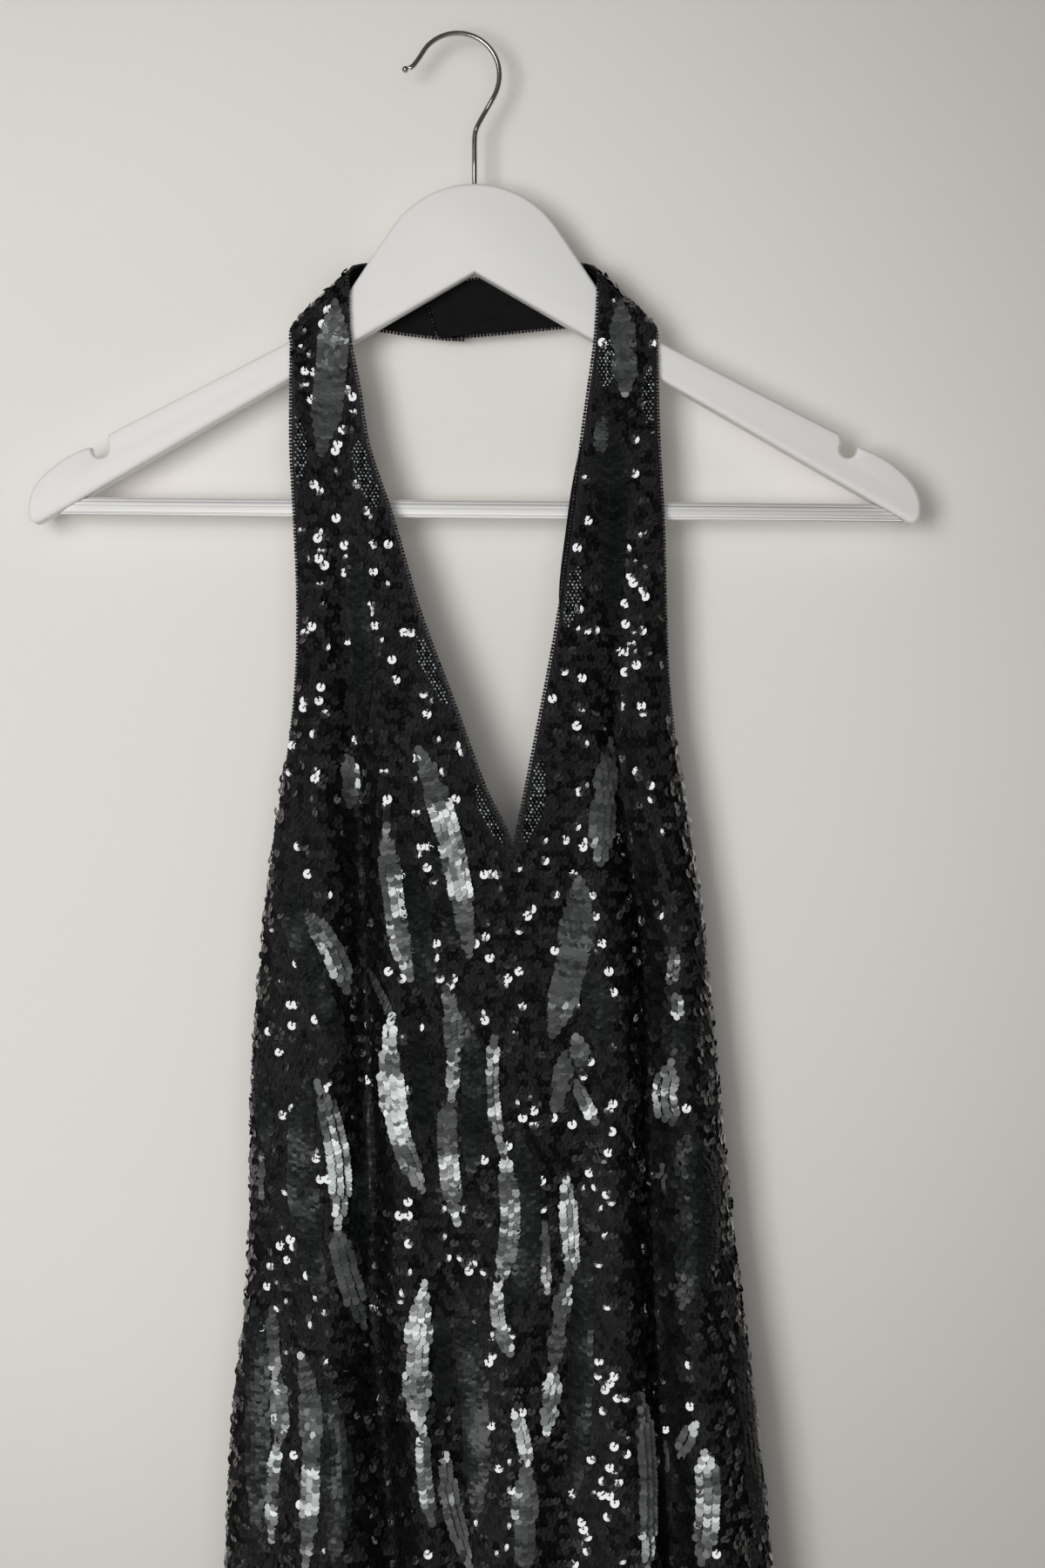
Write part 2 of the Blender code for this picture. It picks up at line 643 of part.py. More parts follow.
def smooth_path(points):
    """A Catmull-Rom curve through points."""
    points = np.array(points, float)
    padded = np.concatenate([[2 * points[0] - points[1]], points, [2 * points[-1] - points[-2]]])
    made = []
    for i in range(1, len(padded) - 2):
        a, b, c, d = padded[i - 1 : i + 3]
        square, cube = 2 * a - 5 * b + 4 * c - d, 3 * b - a - 3 * c + d
        for t in np.arange(PATH_STEPS) / PATH_STEPS:
            made.append(b + (c - a) * t / 2 + square * t**2 / 2 + cube * t**3 / 2)
    made.append(points[-1])
    return np.array(made)


def hanger_hook(material):
    """The bent wire hook, with a ball on its tip and its stem sunk in the crown."""
    bend = [
        (HOOK_RADIUS * math.cos(t), HOOK_CENTRE_Z + HOOK_RADIUS * math.sin(t))
        for t in np.radians(np.arange(155, -6, -20))
    ]
    route = [(x * MM, z * MM) for x, z in HOOK_TO_BALL] + bend + [(x * MM, z * MM) for x, z in HOOK_TO_STEM]
    route.append((STEM_X, CROWN_TOP_Z - STEM_SUNK))
    line = smooth_path(route)
    tip, next_point = line[0], line[1]
    out = (tip - next_point) / np.linalg.norm(tip - next_point)
    ball = [(tip + out * BALL_RADIUS * math.cos(t), BALL_RADIUS * math.sin(t)) for t in BALL_TURNS]
    wire = [(p, WIRE_RADIUS) for p in line[2:]]
    curve = bpy.data.curves.new("hanger_hook", "CURVE")
    curve.dimensions = "3D"
    curve.bevel_depth = 1.0
    curve.bevel_resolution = 2
    curve.use_fill_caps = True
    spline = curve.splines.new("POLY")
    spline.points.add(len(ball) + len(wire) - 1)
    for point, (place, radius) in zip(spline.points, ball + wire):
        point.co = (place[0], 0, place[1], 1)
        point.radius = radius
    curve.materials.append(material)
    hook = bpy.data.objects.new("hanger_hook", curve)
    bpy.context.scene.collection.objects.link(hook)
    return hook


def principled(name, colour, roughness, metallic=0.0):
    """A plain material with one colour."""
    material = bpy.data.materials.new(name)
    material.use_nodes = True
    shader = material.node_tree.nodes["Principled BSDF"]
    shader.inputs["Base Color"].default_value = (*colour, 1)
    shader.inputs["Roughness"].default_value = roughness
    shader.inputs["Metallic"].default_value = metallic
    return material


def main():
    for thing in list(bpy.data.objects):
        bpy.data.objects.remove(thing)
    sequins = principled("sequinned_cloth", (0.012, 0.012, 0.014), 0.35)
    lining_cloth = principled("lining_cloth", (0.010, 0.010, 0.011), 0.85)
    paint = principled("white_paint", (0.78, 0.77, 0.75), 0.45)
    steel = principled("steel_wire", (0.55, 0.54, 0.52), 0.22, 1.0)
    hanger_wood(paint)
    hanger_bar(paint)
    hanger_hook(steel)
    for side in ("left", "right"):
        front(side, sequins)
        back(side, sequins)
        band(side, sequins)
        lining(side, lining_cloth)


main()
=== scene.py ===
# %% [markdown]
# # A beaded evening dress on its hanger
#
# A black halter gown hangs by its straps from a white wooden hanger. The cloth is net, sewn all over with
# small round sequins. Long flames of stacked sequins run down it, and rows of seed beads bind its edges.
#
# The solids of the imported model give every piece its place. This file dresses them: it lays a fine sheet
# of cloth on each wall, sews the sequins and the beads on it, and paints the hanger.

import math

import bpy
import numpy as np
from mathutils import Matrix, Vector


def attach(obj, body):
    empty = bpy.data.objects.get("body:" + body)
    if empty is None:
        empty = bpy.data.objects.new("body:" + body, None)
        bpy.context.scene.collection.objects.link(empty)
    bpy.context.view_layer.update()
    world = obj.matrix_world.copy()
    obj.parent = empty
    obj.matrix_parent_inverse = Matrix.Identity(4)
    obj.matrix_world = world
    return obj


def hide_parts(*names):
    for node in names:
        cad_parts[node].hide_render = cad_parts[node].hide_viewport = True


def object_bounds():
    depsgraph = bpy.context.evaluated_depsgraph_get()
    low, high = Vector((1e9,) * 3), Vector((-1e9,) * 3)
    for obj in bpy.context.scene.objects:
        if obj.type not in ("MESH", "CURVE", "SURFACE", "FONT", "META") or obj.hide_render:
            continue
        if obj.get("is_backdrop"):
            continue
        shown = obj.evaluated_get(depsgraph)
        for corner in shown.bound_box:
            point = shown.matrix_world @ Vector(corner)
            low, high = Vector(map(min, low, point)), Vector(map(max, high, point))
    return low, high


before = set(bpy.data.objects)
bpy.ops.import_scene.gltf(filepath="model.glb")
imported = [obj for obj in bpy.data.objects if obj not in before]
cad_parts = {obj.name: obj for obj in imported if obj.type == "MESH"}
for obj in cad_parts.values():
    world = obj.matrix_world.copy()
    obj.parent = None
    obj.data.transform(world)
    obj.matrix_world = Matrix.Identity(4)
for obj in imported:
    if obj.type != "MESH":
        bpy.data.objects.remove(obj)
cad_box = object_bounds()
print("the solids span", [round(float(high - low), 3) for low, high in zip(*cad_box)], "m")

MM = 0.001
rng = np.random.default_rng(11)

# %% [markdown]
# ## The camera
#
# The picture is a close view of the upper half. The camera stands level with the middle of that half and
# looks straight along +Y. A wooden hanger of this kind is 440 to 445 mm wide, which gives the size of a
# pixel at the hanger, and the height of the picture there gives the lens.

# %% Camera
PIXEL = 0.4226 * MM
RAIL_PIXEL = (525.5, 41.0)
PICTURE_PIXELS = (1200, 1800)
DISTANCE = 1.3
SENSOR = 36.0
NEAR_CLIP = 0.01

centre_x = (PICTURE_PIXELS[0] / 2 - RAIL_PIXEL[0]) * PIXEL
centre_z = (RAIL_PIXEL[1] - PICTURE_PIXELS[1] / 2) * PIXEL

lens = bpy.data.cameras.new("camera")
lens.sensor_width = SENSOR
lens.lens = SENSOR * DISTANCE / (PICTURE_PIXELS[1] * PIXEL)
lens.clip_start = NEAR_CLIP
camera = bpy.data.objects.new("camera", lens)
camera.location = (centre_x, -DISTANCE, centre_z)
camera.rotation_euler = (math.radians(90), 0, 0)
bpy.context.scene.collection.objects.link(camera)
bpy.context.scene.camera = camera
print("lens", round(lens.lens, 1), "mm at", [round(v, 3) for v in camera.location])


def from_pixel(px, py, depth):
    """The x and z that a pixel of the picture has at this depth behind the hanger's middle plane."""
    reach = (DISTANCE + depth) / DISTANCE
    x = centre_x + ((px - RAIL_PIXEL[0]) * PIXEL - centre_x) * reach
    z = centre_z + ((RAIL_PIXEL[1] - py) * PIXEL - centre_z) * reach
    return x, z


# %% [markdown]
# ## The shape of the hanging cloth
#
# A gown on a hanger has no body in it: it hangs as a flattened tube, with lengthwise folds. Its shape can
# be written as a formula. At each height a table gives the left and right edge and how deep the hollow
# is, and each fold has a path and a depth of its own. The same formula then places the cloth, every
# sequin and every bead, so that nothing floats or sinks. Here are the tables, in millimetres.

# %% Curves
class Curves:
    """A table of named columns against height, read as smooth curves."""

    def __init__(self, names, rows, scale=MM):
        rows = np.array(sorted(rows), float)
        self.height = rows[:, 0] * MM
        self.columns = {name: rows[:, i] * scale for i, name in enumerate(names) if i}

    def at(self, name, z):
        values = self.columns[name]
        slopes = np.gradient(values, self.height)
        climbs = np.diff(values)
        slopes[1:-1][climbs[1:] * climbs[:-1] <= 0] = 0
        z = np.clip(z, self.height[0], self.height[-1])
        i = np.clip(np.searchsorted(self.height, z) - 1, 0, len(values) - 2)
        step = self.height[i + 1] - self.height[i]
        f = (z - self.height[i]) / step
        rise = values[i + 1] - values[i]
        bend = f * (1 - f) * ((1 - f) * (slopes[i] * step - rise) - f * (slopes[i + 1] * step - rise))
        return values[i] + f * rise + bend


# %% Outline
HEM_Z = -1520.0 * MM
NECK_POINT_Z = -400.0 * MM
STRAP_ROW_Z = -195.0 * MM
SIDE_SEAM = math.radians(105.0)
SIDE_SEAM_TOP_Z = -424.0 * MM
BACK_DIP = 66.0 * MM
BACK_DIP_HEIGHT = 280.0 * MM
BACK_DIP_ROUNDNESS = 1.3

BODY = Curves(
    ("z", "left", "right", "front", "back", "middle_y"),
    [
        (-120, -80.1, 94.8, 0.0, 0.0, -8.4),
        (-150, -80.1, 96.0, 0.1, 0.1, -8.4),
        (-195, -80.2, 97.0, 3.5, 0.5, -7.8),
        (-237, -78.1, 99.1, 6.0, 2.0, -7.4),
        (-279, -76.5, 100.0, 10.0, 5.0, -6.6),
        (-321, -77.8, 101.7, 13.0, 8.0, -6.0),
        (-363, -83.8, 107.6, 17.0, 11.0, -5.2),
        (-405, -89.7, 113.9, 19.0, 13.0, -5.0),
        (-447, -93.9, 118.1, 21.0, 15.0, -5.0),
        (-489, -97.3, 122.8, 23.0, 17.0, -5.0),
        (-531, -98.5, 127.0, 24.5, 19.0, -5.2),
        (-573, -98.9, 131.2, 25.5, 20.0, -5.4),
        (-615, -101.0, 136.2, 26.5, 21.0, -5.7),
        (-657, -106.0, 142.0, 28.5, 22.5, -6.1),
        (-699, -108.5, 146.6, 30.0, 24.0, -6.6),
        (-741, -110.0, 150.8, 32.0, 25.0, -7.0),
        (-900, -124.0, 166.0, 40.0, 30.0, -8.0),
        (-1150, -146.0, 190.0, 54.0, 35.0, -11.0),
        (-1520, -172.0, 228.0, 72.0, 40.0, -14.0),
    ],
)

NECKLINE = Curves(
    ("z", "left", "right"),
    [
        (-120, -52.9, 68.4),
        (-145, -52.6, 67.3),
        (-174, -47.3, 63.6),
        (-195, -44.2, 60.7),
        (-237, -30.8, 55.6),
        (-279, -18.6, 49.7),
        (-321, -3.0, 42.2),
        (-363, 12.4, 34.0),
        (-400, 27.2, 27.2),
        (-470, 26.0, 26.0),
        (-1520, 28.0, 28.0),
    ],
)

FRONT_EDGE = Curves(
    ("z", "angle"),
    [
        (-120, 84.0),
        (-300, 84.0),
        (-335, 89.0),
        (-380, 98.0),
        (-424, 105.0),
        (-480, 105.0),
        (-1520, 105.0),
    ],
    scale=math.radians(1.0),
)


# %% Folds
def furrow(half_width_top, half_width_hem, rows):
    """One lengthwise fold: where its bottom runs and how deep it is, at each height."""
    return {
        "path": Curves(("z", "x", "depth"), rows),
        "width": Curves(("z", "half"), [(-190, half_width_top), (-1520, half_width_hem)]),
    }


FRONT_FURROWS = [
    furrow(
        9.0, 17.0, [(-560, -83.0, 0.0), (-680, -86.0, 2.5), (-739, -88.0, 4.0), (-1520, -134.0, 14.0)]
    ),
    furrow(
        7.0,
        15.0,
        [
            (-195, -59.0, 0.0),
            (-237, -55.8, 1.6),
            (-279, -53.8, 4.0),
            (-344, -50.2, 8.0),
            (-395, -48.0, 10.5),
            (-446, -45.7, 11.0),
            (-530, -43.5, 11.5),
            (-612, -41.2, 12.0),
            (-694, -34.7, 13.5),
            (-741, -31.4, 14.5),
            (-1520, -52.0, 22.0),
        ],
    ),
    furrow(8.0, 16.0, [(-560, 4.0, 0.0), (-650, 4.5, 3.0), (-739, 7.0, 4.5), (-1520, 9.0, 17.0)]),
    furrow(9.0, 16.0, [(-500, 60.0, 0.0), (-560, 58.0, 2.5), (-739, 53.3, 4.5), (-1520, 82.0, 18.0)]),
    furrow(
        7.0,
        15.0,
        [
            (-195, 80.5, 0.0),
            (-237, 80.0, 1.6),
            (-279, 79.0, 3.5),
            (-321, 78.2, 6.5),
            (-363, 80.4, 9.5),
            (-395, 85.0, 12.0),
            (-426, 90.4, 14.0),
            (-471, 93.6, 15.0),
            (-530, 95.2, 15.0),
            (-612, 97.9, 14.5),
            (-694, 102.8, 15.0),
            (-741, 106.4, 15.5),
            (-1520, 161.0, 22.0),
        ],
    ),
]

BACK_FURROWS = [
    furrow(10.0, 15.0, [(-470, -62.0, 0.0), (-640, -66.0, 5.0), (-1520, -110.0, 14.0)]),
    furrow(10.0, 15.0, [(-520, -20.0, 0.0), (-700, -22.0, 5.0), (-1520, -44.0, 13.0)]),
    furrow(10.0, 15.0, [(-440, 22.0, 0.0), (-580, 20.0, 4.0), (-1520, 26.0, 15.0)]),
    furrow(10.0, 15.0, [(-540, 62.0, 0.0), (-720, 66.0, 5.0), (-1520, 94.0, 13.0)]),
    furrow(10.0, 15.0, [(-470, 92.0, 0.0), (-660, 104.0, 5.0), (-1520, 162.0, 14.0)]),
]

FURROW_RIDGE = 0.22
FURROW_RIDGE_AT = 2.0


def furrow_depth(furrows, x, z):
    """How far the cloth is pushed in at x by these folds, each with a low ridge on either side."""
    total = np.zeros(np.broadcast(x, z).shape)
    for fold in furrows:
        q = (x - fold["path"].at("x", z)) / fold["width"].at("half", z)
        ridges = np.exp(-((q - FURROW_RIDGE_AT) ** 2)) + np.exp(-((q + FURROW_RIDGE_AT) ** 2))
        total = total + fold["path"].at("depth", z) * (np.exp(-(q**2)) - FURROW_RIDGE * ridges)
    return total


# %% Cloth point
TINY = 1e-5
NO_LENGTH = 1e-12
LEAST_SLOPE = 1e-6
FINE_STEPS = 321


def body_middle(z):
    return (BODY.at("left", z) + BODY.at("right", z)) / 2


def body_half(z):
    return (BODY.at("right", z) - BODY.at("left", z)) / 2


def body_point(angle, z):
    """The middle of the cloth at an angle round the body (0 is the middle of the front, + is right)."""
    angle, z = np.broadcast_arrays(np.asarray(angle, float), np.asarray(z, float))
    half = body_half(z)
    in_front = np.cos(angle) > 0
    depth = np.where(in_front, BODY.at("front", z), BODY.at("back", z))
    x = body_middle(z) + half * np.sin(angle)
    y = BODY.at("middle_y", z) - depth * np.cos(angle)
    out_x, out_y = depth * np.sin(angle), -half * np.cos(angle)
    size = np.maximum(np.hypot(out_x, out_y), LEAST_SLOPE)
    push = np.where(in_front, furrow_depth(FRONT_FURROWS, x, z), furrow_depth(BACK_FURROWS, x, z))
    return np.stack([x - out_x / size * push, y - out_y / size * push, z], axis=-1)


def angle_at(x, z):
    """The angle on the front whose plain ring passes through x."""
    return np.arcsin(np.clip((x - body_middle(z)) / body_half(z), -1, 1))


def unit(vectors):
    return vectors / np.maximum(np.linalg.norm(vectors, axis=-1, keepdims=True), NO_LENGTH)


def body_frame(angle, z):
    """The point at an angle and a height, with the directions across, up and out of the cloth there."""
    place = body_point(angle, z)
    across = unit(body_point(angle + TINY, z) - body_point(angle - TINY, z))
    up = body_point(angle, z + TINY) - body_point(angle, z - TINY)
    out = unit(np.cross(across, up))
    return place, across, np.cross(out, across), out


hem_ring = body_point(np.linspace(0, 2 * math.pi, FINE_STEPS), HEM_Z)
print("round the hem:", round(float(np.linalg.norm(np.diff(hem_ring, axis=0), axis=1).sum()), 3), "m")

# %% [markdown]
# ## Where the straps cross the hanger
#
# Each strap climbs the front of an arm, turns over the top and goes on as half of the neck band. It meets
# the arm at a slant, so it drifts inwards as it turns. Behind the arm the two halves curve to the middle,
# where they lap.

# %% Straps
CROSSING_INNER = (60.5 * MM, -123.4 * MM)
CROSSING_OUTER = (88.5 * MM, -149.5 * MM)
CROSSING_HALF_DEPTH = 8.4 * MM
CROSSING_HEIGHT = 5.8 * MM
CROSSING_SQUARENESS = 3.0
CROSSING_DRIFT = 19.0 * MM
HALF_COLUMNS = 72
TURN_WEIGHT = 12.0 * MM
SIGN = {"left": -1, "right": 1}


def column_angles(z, start, end, count):
    """Angles from start to end at one height, closer together where the cloth turns sharply."""
    fine = np.linspace(start, end, FINE_STEPS)
    steps = np.diff(body_point(fine, z)[:, :2], axis=0)
    heading = np.unwrap(np.arctan2(steps[:, 1], steps[:, 0]))
    turning = np.abs(np.gradient(heading))
    along = np.concatenate([[0], np.cumsum(np.hypot(*steps.T) + TURN_WEIGHT * turning)])
    return np.interp(np.linspace(0, along[-1], count + 1), along, fine)


def front_angles(side, z):
    """The columns of one half of the front at one height, from its outer edge to the V or the middle."""
    sign = SIGN[side]
    inner = angle_at(NECKLINE.at(side, z), z)
    return column_angles(z, sign * FRONT_EDGE.at("angle", z), inner, HALF_COLUMNS)


def edges_at(side, z):
    """The x of a strap's inner and outer edge."""
    sign = SIGN[side]
    outer = body_middle(z) + sign * body_half(z) * np.sin(FRONT_EDGE.at("angle", z))
    return NECKLINE.at(side, z), outer


def crossing(side, share):
    """Points on the line where a strap crosses the arm (share 0 at the V's edge, 1 at the outer edge)."""
    z = CROSSING_INNER[1] + share * (CROSSING_OUTER[1] - CROSSING_INNER[1])
    inner, outer = edges_at(side, z)
    return np.stack([inner + share * (outer - inner), np.zeros_like(z), z], axis=-1)


def crossing_axes(side):
    """The direction up the crossing line, towards the stem, and the one square to it, off the wood."""
    sign = SIGN[side]
    run = CROSSING_OUTER[0] - CROSSING_INNER[0]
    fall = CROSSING_INNER[1] - CROSSING_OUTER[1]
    length = math.hypot(run, fall)
    return np.array([-sign * run, 0.0, fall]) / length, np.array([sign * fall, 0.0, run]) / length


def strap_shares(side):
    """Where each column of a strap lies across it, at the strap's last level row."""
    x = body_point(front_angles(side, STRAP_ROW_Z), STRAP_ROW_Z)[:, 0]
    return (x - x[-1]) / (x[0] - x[-1])


def slanted_row(side, share):
    """A row of the strap between its last level row (share 0) and the slanting crossing (share 1)."""
    across = strap_shares(side)
    z = STRAP_ROW_Z + share * (crossing(side, across)[:, 2] - STRAP_ROW_Z)
    inner, outer = edges_at(side, z)
    return body_point(angle_at(inner + across * (outer - inner), z), z)


def wrap_row(side, turn):
    """A row of the strap as it turns over the arm: turn is -90 degrees in front and 90 behind."""
    inwards, up = crossing_axes(side)
    power = 2 / CROSSING_SQUARENESS
    height = CROSSING_HEIGHT * abs(math.cos(turn)) ** power
    depth = math.copysign(CROSSING_HALF_DEPTH * abs(math.sin(turn)) ** power, turn)
    drift = CROSSING_DRIFT * (turn / math.pi + 0.5)
    return crossing(side, strap_shares(side)) + height * up + drift * inwards + np.array([0, depth, 0])


# %% Neck band
BAND_ENDS = {
    "left": {"upper": (2.0, -119.4), "lower": (3.0, -144.9), "y": 12.6},
    "right": {"upper": (-17.2, -119.2), "lower": (-9.2, -144.6), "y": 8.8},
}
BAND_START_PULL = 30.0 * MM
BAND_END_PULL = 60.0 * MM
BAND_STEP_BACK_BY = 0.62
LAP_FALL = -0.02


def band_row(side, share):
    """A row of the neck band, from the crossing (share 0) to the lap (share 1)."""
    across = strap_shares(side)[:, None]
    end = BAND_ENDS[side]
    inwards, up = crossing_axes(side)
    heading = inwards * inwards[2] - up * up[2]
    start = wrap_row(side, math.pi / 2)
    upper, lower = (np.array([end[k][0], 0, end[k][1]]) * MM for k in ("upper", "lower"))
    stop = upper + across * (lower - upper)
    towards_lap = np.array([-SIGN[side], 0, LAP_FALL])
    s = share
    points = (
        (2 * s**3 - 3 * s**2 + 1) * start
        + (s**3 - 2 * s**2 + s) * heading * BAND_START_PULL
        + (3 * s**2 - 2 * s**3) * stop
        + (s**3 - s**2) * towards_lap * BAND_END_PULL
    )
    f = min(s / BAND_STEP_BACK_BY, 1.0)
    ease = f * f * (3 - 2 * f)
    points[:, 1] = CROSSING_HALF_DEPTH + ease * (end["y"] * MM - CROSSING_HALF_DEPTH)
    return points


# %% [markdown]
# ## Grids of cloth
#
# A sheet that hangs in folds is best made from a grid of points worked out by the formula. Each grid
# keeps its points and the outward direction at each, because the sequins need both. The rows run from the
# hem upwards.

# %% Grids
ROW_PITCH = 7.0 * MM
SLANTED_ROWS = 8
WRAP_ROWS = 17
BAND_ROWS = 25
BACK_COLUMNS = 120
SIDE_SEAM_GAP = 0.01


class Grid:
    """Rows and columns of cloth points, with the outward direction at each."""

    def __init__(self, rows, flipped=False):
        self.points = np.array(rows)
        along, across = np.gradient(self.points, axis=0), np.gradient(self.points, axis=1)
        self.out = unit(np.cross(across, along)) * (-1 if flipped else 1)
        self.flipped = flipped

    def area(self):
        p = self.points
        a, b = p[1:, 1:] - p[:-1, :-1], p[1:, :-1] - p[:-1, 1:]
        return float(np.linalg.norm(np.cross(a, b), axis=-1).sum() / 2)


def heights(start, end):
    return np.linspace(start, end, round((end - start) / ROW_PITCH) + 1)


def half_front_rows(side):
    """Rows of one half of the front and its strap, and how many of them run up to the point of the V."""
    levels = np.concatenate([heights(HEM_Z, NECK_POINT_Z)[:-1], heights(NECK_POINT_Z, STRAP_ROW_Z)])
    rows = [body_point(front_angles(side, z), z) for z in levels]
    rows += [slanted_row(side, share) for share in np.linspace(0, 1, SLANTED_ROWS)[1:-1]]
    rows += [wrap_row(side, turn) for turn in np.radians(np.linspace(-90, 90, WRAP_ROWS))]
    joined = int(np.argmin(np.abs(levels - NECK_POINT_Z))) + 1
    return rows, joined


def back_rows():
    """Rows of the back, from side seam to side seam. The upper ones dip towards the middle."""
    start = SIDE_SEAM + SIDE_SEAM_GAP
    rows = []
    for z in heights(HEM_Z, SIDE_SEAM_TOP_Z):
        share = max(0.0, 1 - (SIDE_SEAM_TOP_Z - z) / BACK_DIP_HEIGHT)
        angles = column_angles(z, start, 2 * math.pi - start, BACK_COLUMNS)
        way = (angles - angles[0]) / (angles[-1] - angles[0])
        dip = BACK_DIP * share * np.sin(way * math.pi) ** BACK_DIP_ROUNDNESS
        rows.append(body_point(angles, z - dip))
    return rows


left_rows, joined_rows = half_front_rows("left")
right_rows, _ = half_front_rows("right")
back_grid = Grid(back_rows())
bands = {}
for side in ("left", "right"):
    bands[side] = Grid([band_row(side, s) for s in np.linspace(0, 1, BAND_ROWS)], flipped=side == "right")
print("rows: front", len(left_rows), "back", len(back_grid.points), "neck band", BAND_ROWS)

# %% [markdown]
# ## Shader maths
#
# A finish is a tree of nodes. Adding each Math node by hand is slow to write and hard to read, so a small
# class wraps a socket: adding or multiplying two of them adds the node. Everything else comes from one
# method, which takes a node's type, its settings and what goes into its sockets.

# %% Finish helper
class Value:
    """One output socket of a finish. Python's own signs add Math nodes."""

    def __init__(self, finish, socket):
        self.finish = finish
        self.socket = socket

    def maths(self, operation, *terms):
        return self.finish.node("ShaderNodeMath", {"operation": operation}, dict(enumerate(terms)))

    def __add__(self, other):
        return self.maths("ADD", self, other)

    __radd__ = __add__

    def __rsub__(self, other):
        return self.maths("SUBTRACT", other, self)

    def __mul__(self, other):
        return self.maths("MULTIPLY", self, other)

    __rmul__ = __mul__

    def over(self, edge, soft):
        """0 well below the edge and 1 well above it, with a soft step between."""
        settings = {"interpolation_type": "SMOOTHSTEP"}
        values = {"Value": self, "From Min": edge - soft, "From Max": edge + soft}
        return self.finish.node("ShaderNodeMapRange", settings, values)


class Finish:
    """A material with one Principled shader, built up from nodes."""

    def __init__(self, name):
        self.material = bpy.data.materials.new(name)
        self.material.use_nodes = True
        self.tree = self.material.node_tree
        self.shader = self.tree.nodes["Principled BSDF"]

    def plug(self, socket, value):
        if isinstance(value, Value):
            self.tree.links.new(value.socket, socket)
        else:
            socket.default_value = value

    def node(self, kind, settings=None, values=None, output=0):
        """Adds a node, with its settings first and then its sockets' values or links."""
        made = self.tree.nodes.new(kind)
        for name, value in (settings or {}).items():
            setattr(made, name, value)
        for name, value in (values or {}).items():
            self.plug(made.inputs[name], value)
        return Value(self, made.outputs[output])

    def surface(self, **values):
        """Sets the shader's sockets, with underscores for the spaces in their names."""
        for name, value in values.items():
            self.plug(self.shader.inputs[name.replace("_", " ").title().replace("Ior", "IOR")], value)

    def coordinates(self, kind="Object"):
        return self.node("ShaderNodeTexCoord", output=kind)

    def noise(self, scale, detail=2.0, place=None):
        values = {"Vector": place or self.coordinates(), "Scale": scale, "Detail": detail}
        return self.node("ShaderNodeTexNoise", values=values, output="Fac")

    def attribute(self, name):
        return self.node("ShaderNodeAttribute", {"attribute_name": name}, output="Fac")

    def blended(self, share, first, second):
        values = {"Factor": share, "A": (*first, 1.0), "B": (*second, 1.0)}
        return self.node("ShaderNodeMix", {"data_type": "RGBA"}, values, output="Result")

    def bump(self, height, distance, strength=1.0):
        values = {"Height": height, "Distance": distance, "Strength": strength}
        return self.node("ShaderNodeBump", values=values, output="Normal")


# %% [markdown]
# ## Cloth, sequin and bead finishes
#
# The ground is a fine black net, and only glints of it show between the sequins. The lining is a plain,
# matt black weave. Each sequin and bead carries a number called shade, drawn once for it, which sets its own
# tone and gloss. Some of the black sequins are tucked under their neighbours and look dull. The loose ones,
# a little over half, have a shade above LOOSE_FROM, which gives them a clear coat, so only they mirror the
# window. The flames are sewn from smoky silver and graphite sequins. Their colours are partly their own and
# partly painted light: the silver's pale colour paints a reflection of the room, and the graphite's dark
# colour paints shade on sequins turned from the light. The leaves are of bright beads, and the edges of dark
# ones.

# %% Cloth finishes
NET_SCALE = 150.0
TWILL_SCALE = 250.0

net = Finish("sequinned_net")
net_uv = net.coordinates("UV")
threads = [
    net.node(
        "ShaderNodeTexWave",
        {"wave_type": "BANDS", "bands_direction": way},
        {"Vector": net_uv, "Scale": NET_SCALE, "Distortion": 0.6},
        output="Fac",
    )
    for way in ("X", "Y")
]
weave = threads[0].maths("MAXIMUM", threads[0], threads[1])
net.surface(
    base_color=net.blended(weave, (0.003, 0.003, 0.004), (0.012, 0.012, 0.014)),
    roughness=0.75 - 0.2 * weave,
    specular_ior_level=0.2,
    normal=net.bump(weave, distance=0.2 * MM, strength=0.6),
)

lining_cloth = Finish("matt_lining")
lining_uv = lining_cloth.coordinates("UV")
twill = lining_cloth.node(
    "ShaderNodeTexWave",
    {"wave_type": "BANDS", "bands_direction": "DIAGONAL"},
    {"Vector": lining_uv, "Scale": TWILL_SCALE, "Distortion": 0.8, "Detail": 1.0},
    output="Fac",
)
slubs = lining_cloth.noise(scale=180.0, detail=4.0, place=lining_uv)
lining_cloth.surface(
    base_color=lining_cloth.blended(slubs, (0.003, 0.003, 0.0035), (0.008, 0.0075, 0.008)),
    roughness=0.82 + 0.12 * twill,
    specular_ior_level=0.15,
    normal=lining_cloth.bump(twill * 0.6 + slubs * 0.4, distance=0.15 * MM, strength=0.7),
)


# %% Sequin and bead finishes
LOOSE_FROM = 0.5
LOOSE_STEP = 0.01
WEAR_SHARE = 0.4


def trimming(name, dark, light, roughness, metallic, refraction, scratches):
    """A sequin or bead finish: each one's shade picks its tone, and faint scratches break its gloss."""
    finish = Finish(name)
    gloss, dull = roughness
    shade = finish.attribute("shade")
    wear = finish.noise(scale=scratches, detail=3.0)
    finish.surface(
        base_color=finish.blended(shade, dark, light),
        roughness=gloss + (dull - gloss) * (shade * (1 - WEAR_SHARE) + wear * WEAR_SHARE),
        metallic=metallic,
        ior=refraction,
        normal=finish.bump(wear, distance=0.05 * MM, strength=0.35),
    )
    return finish


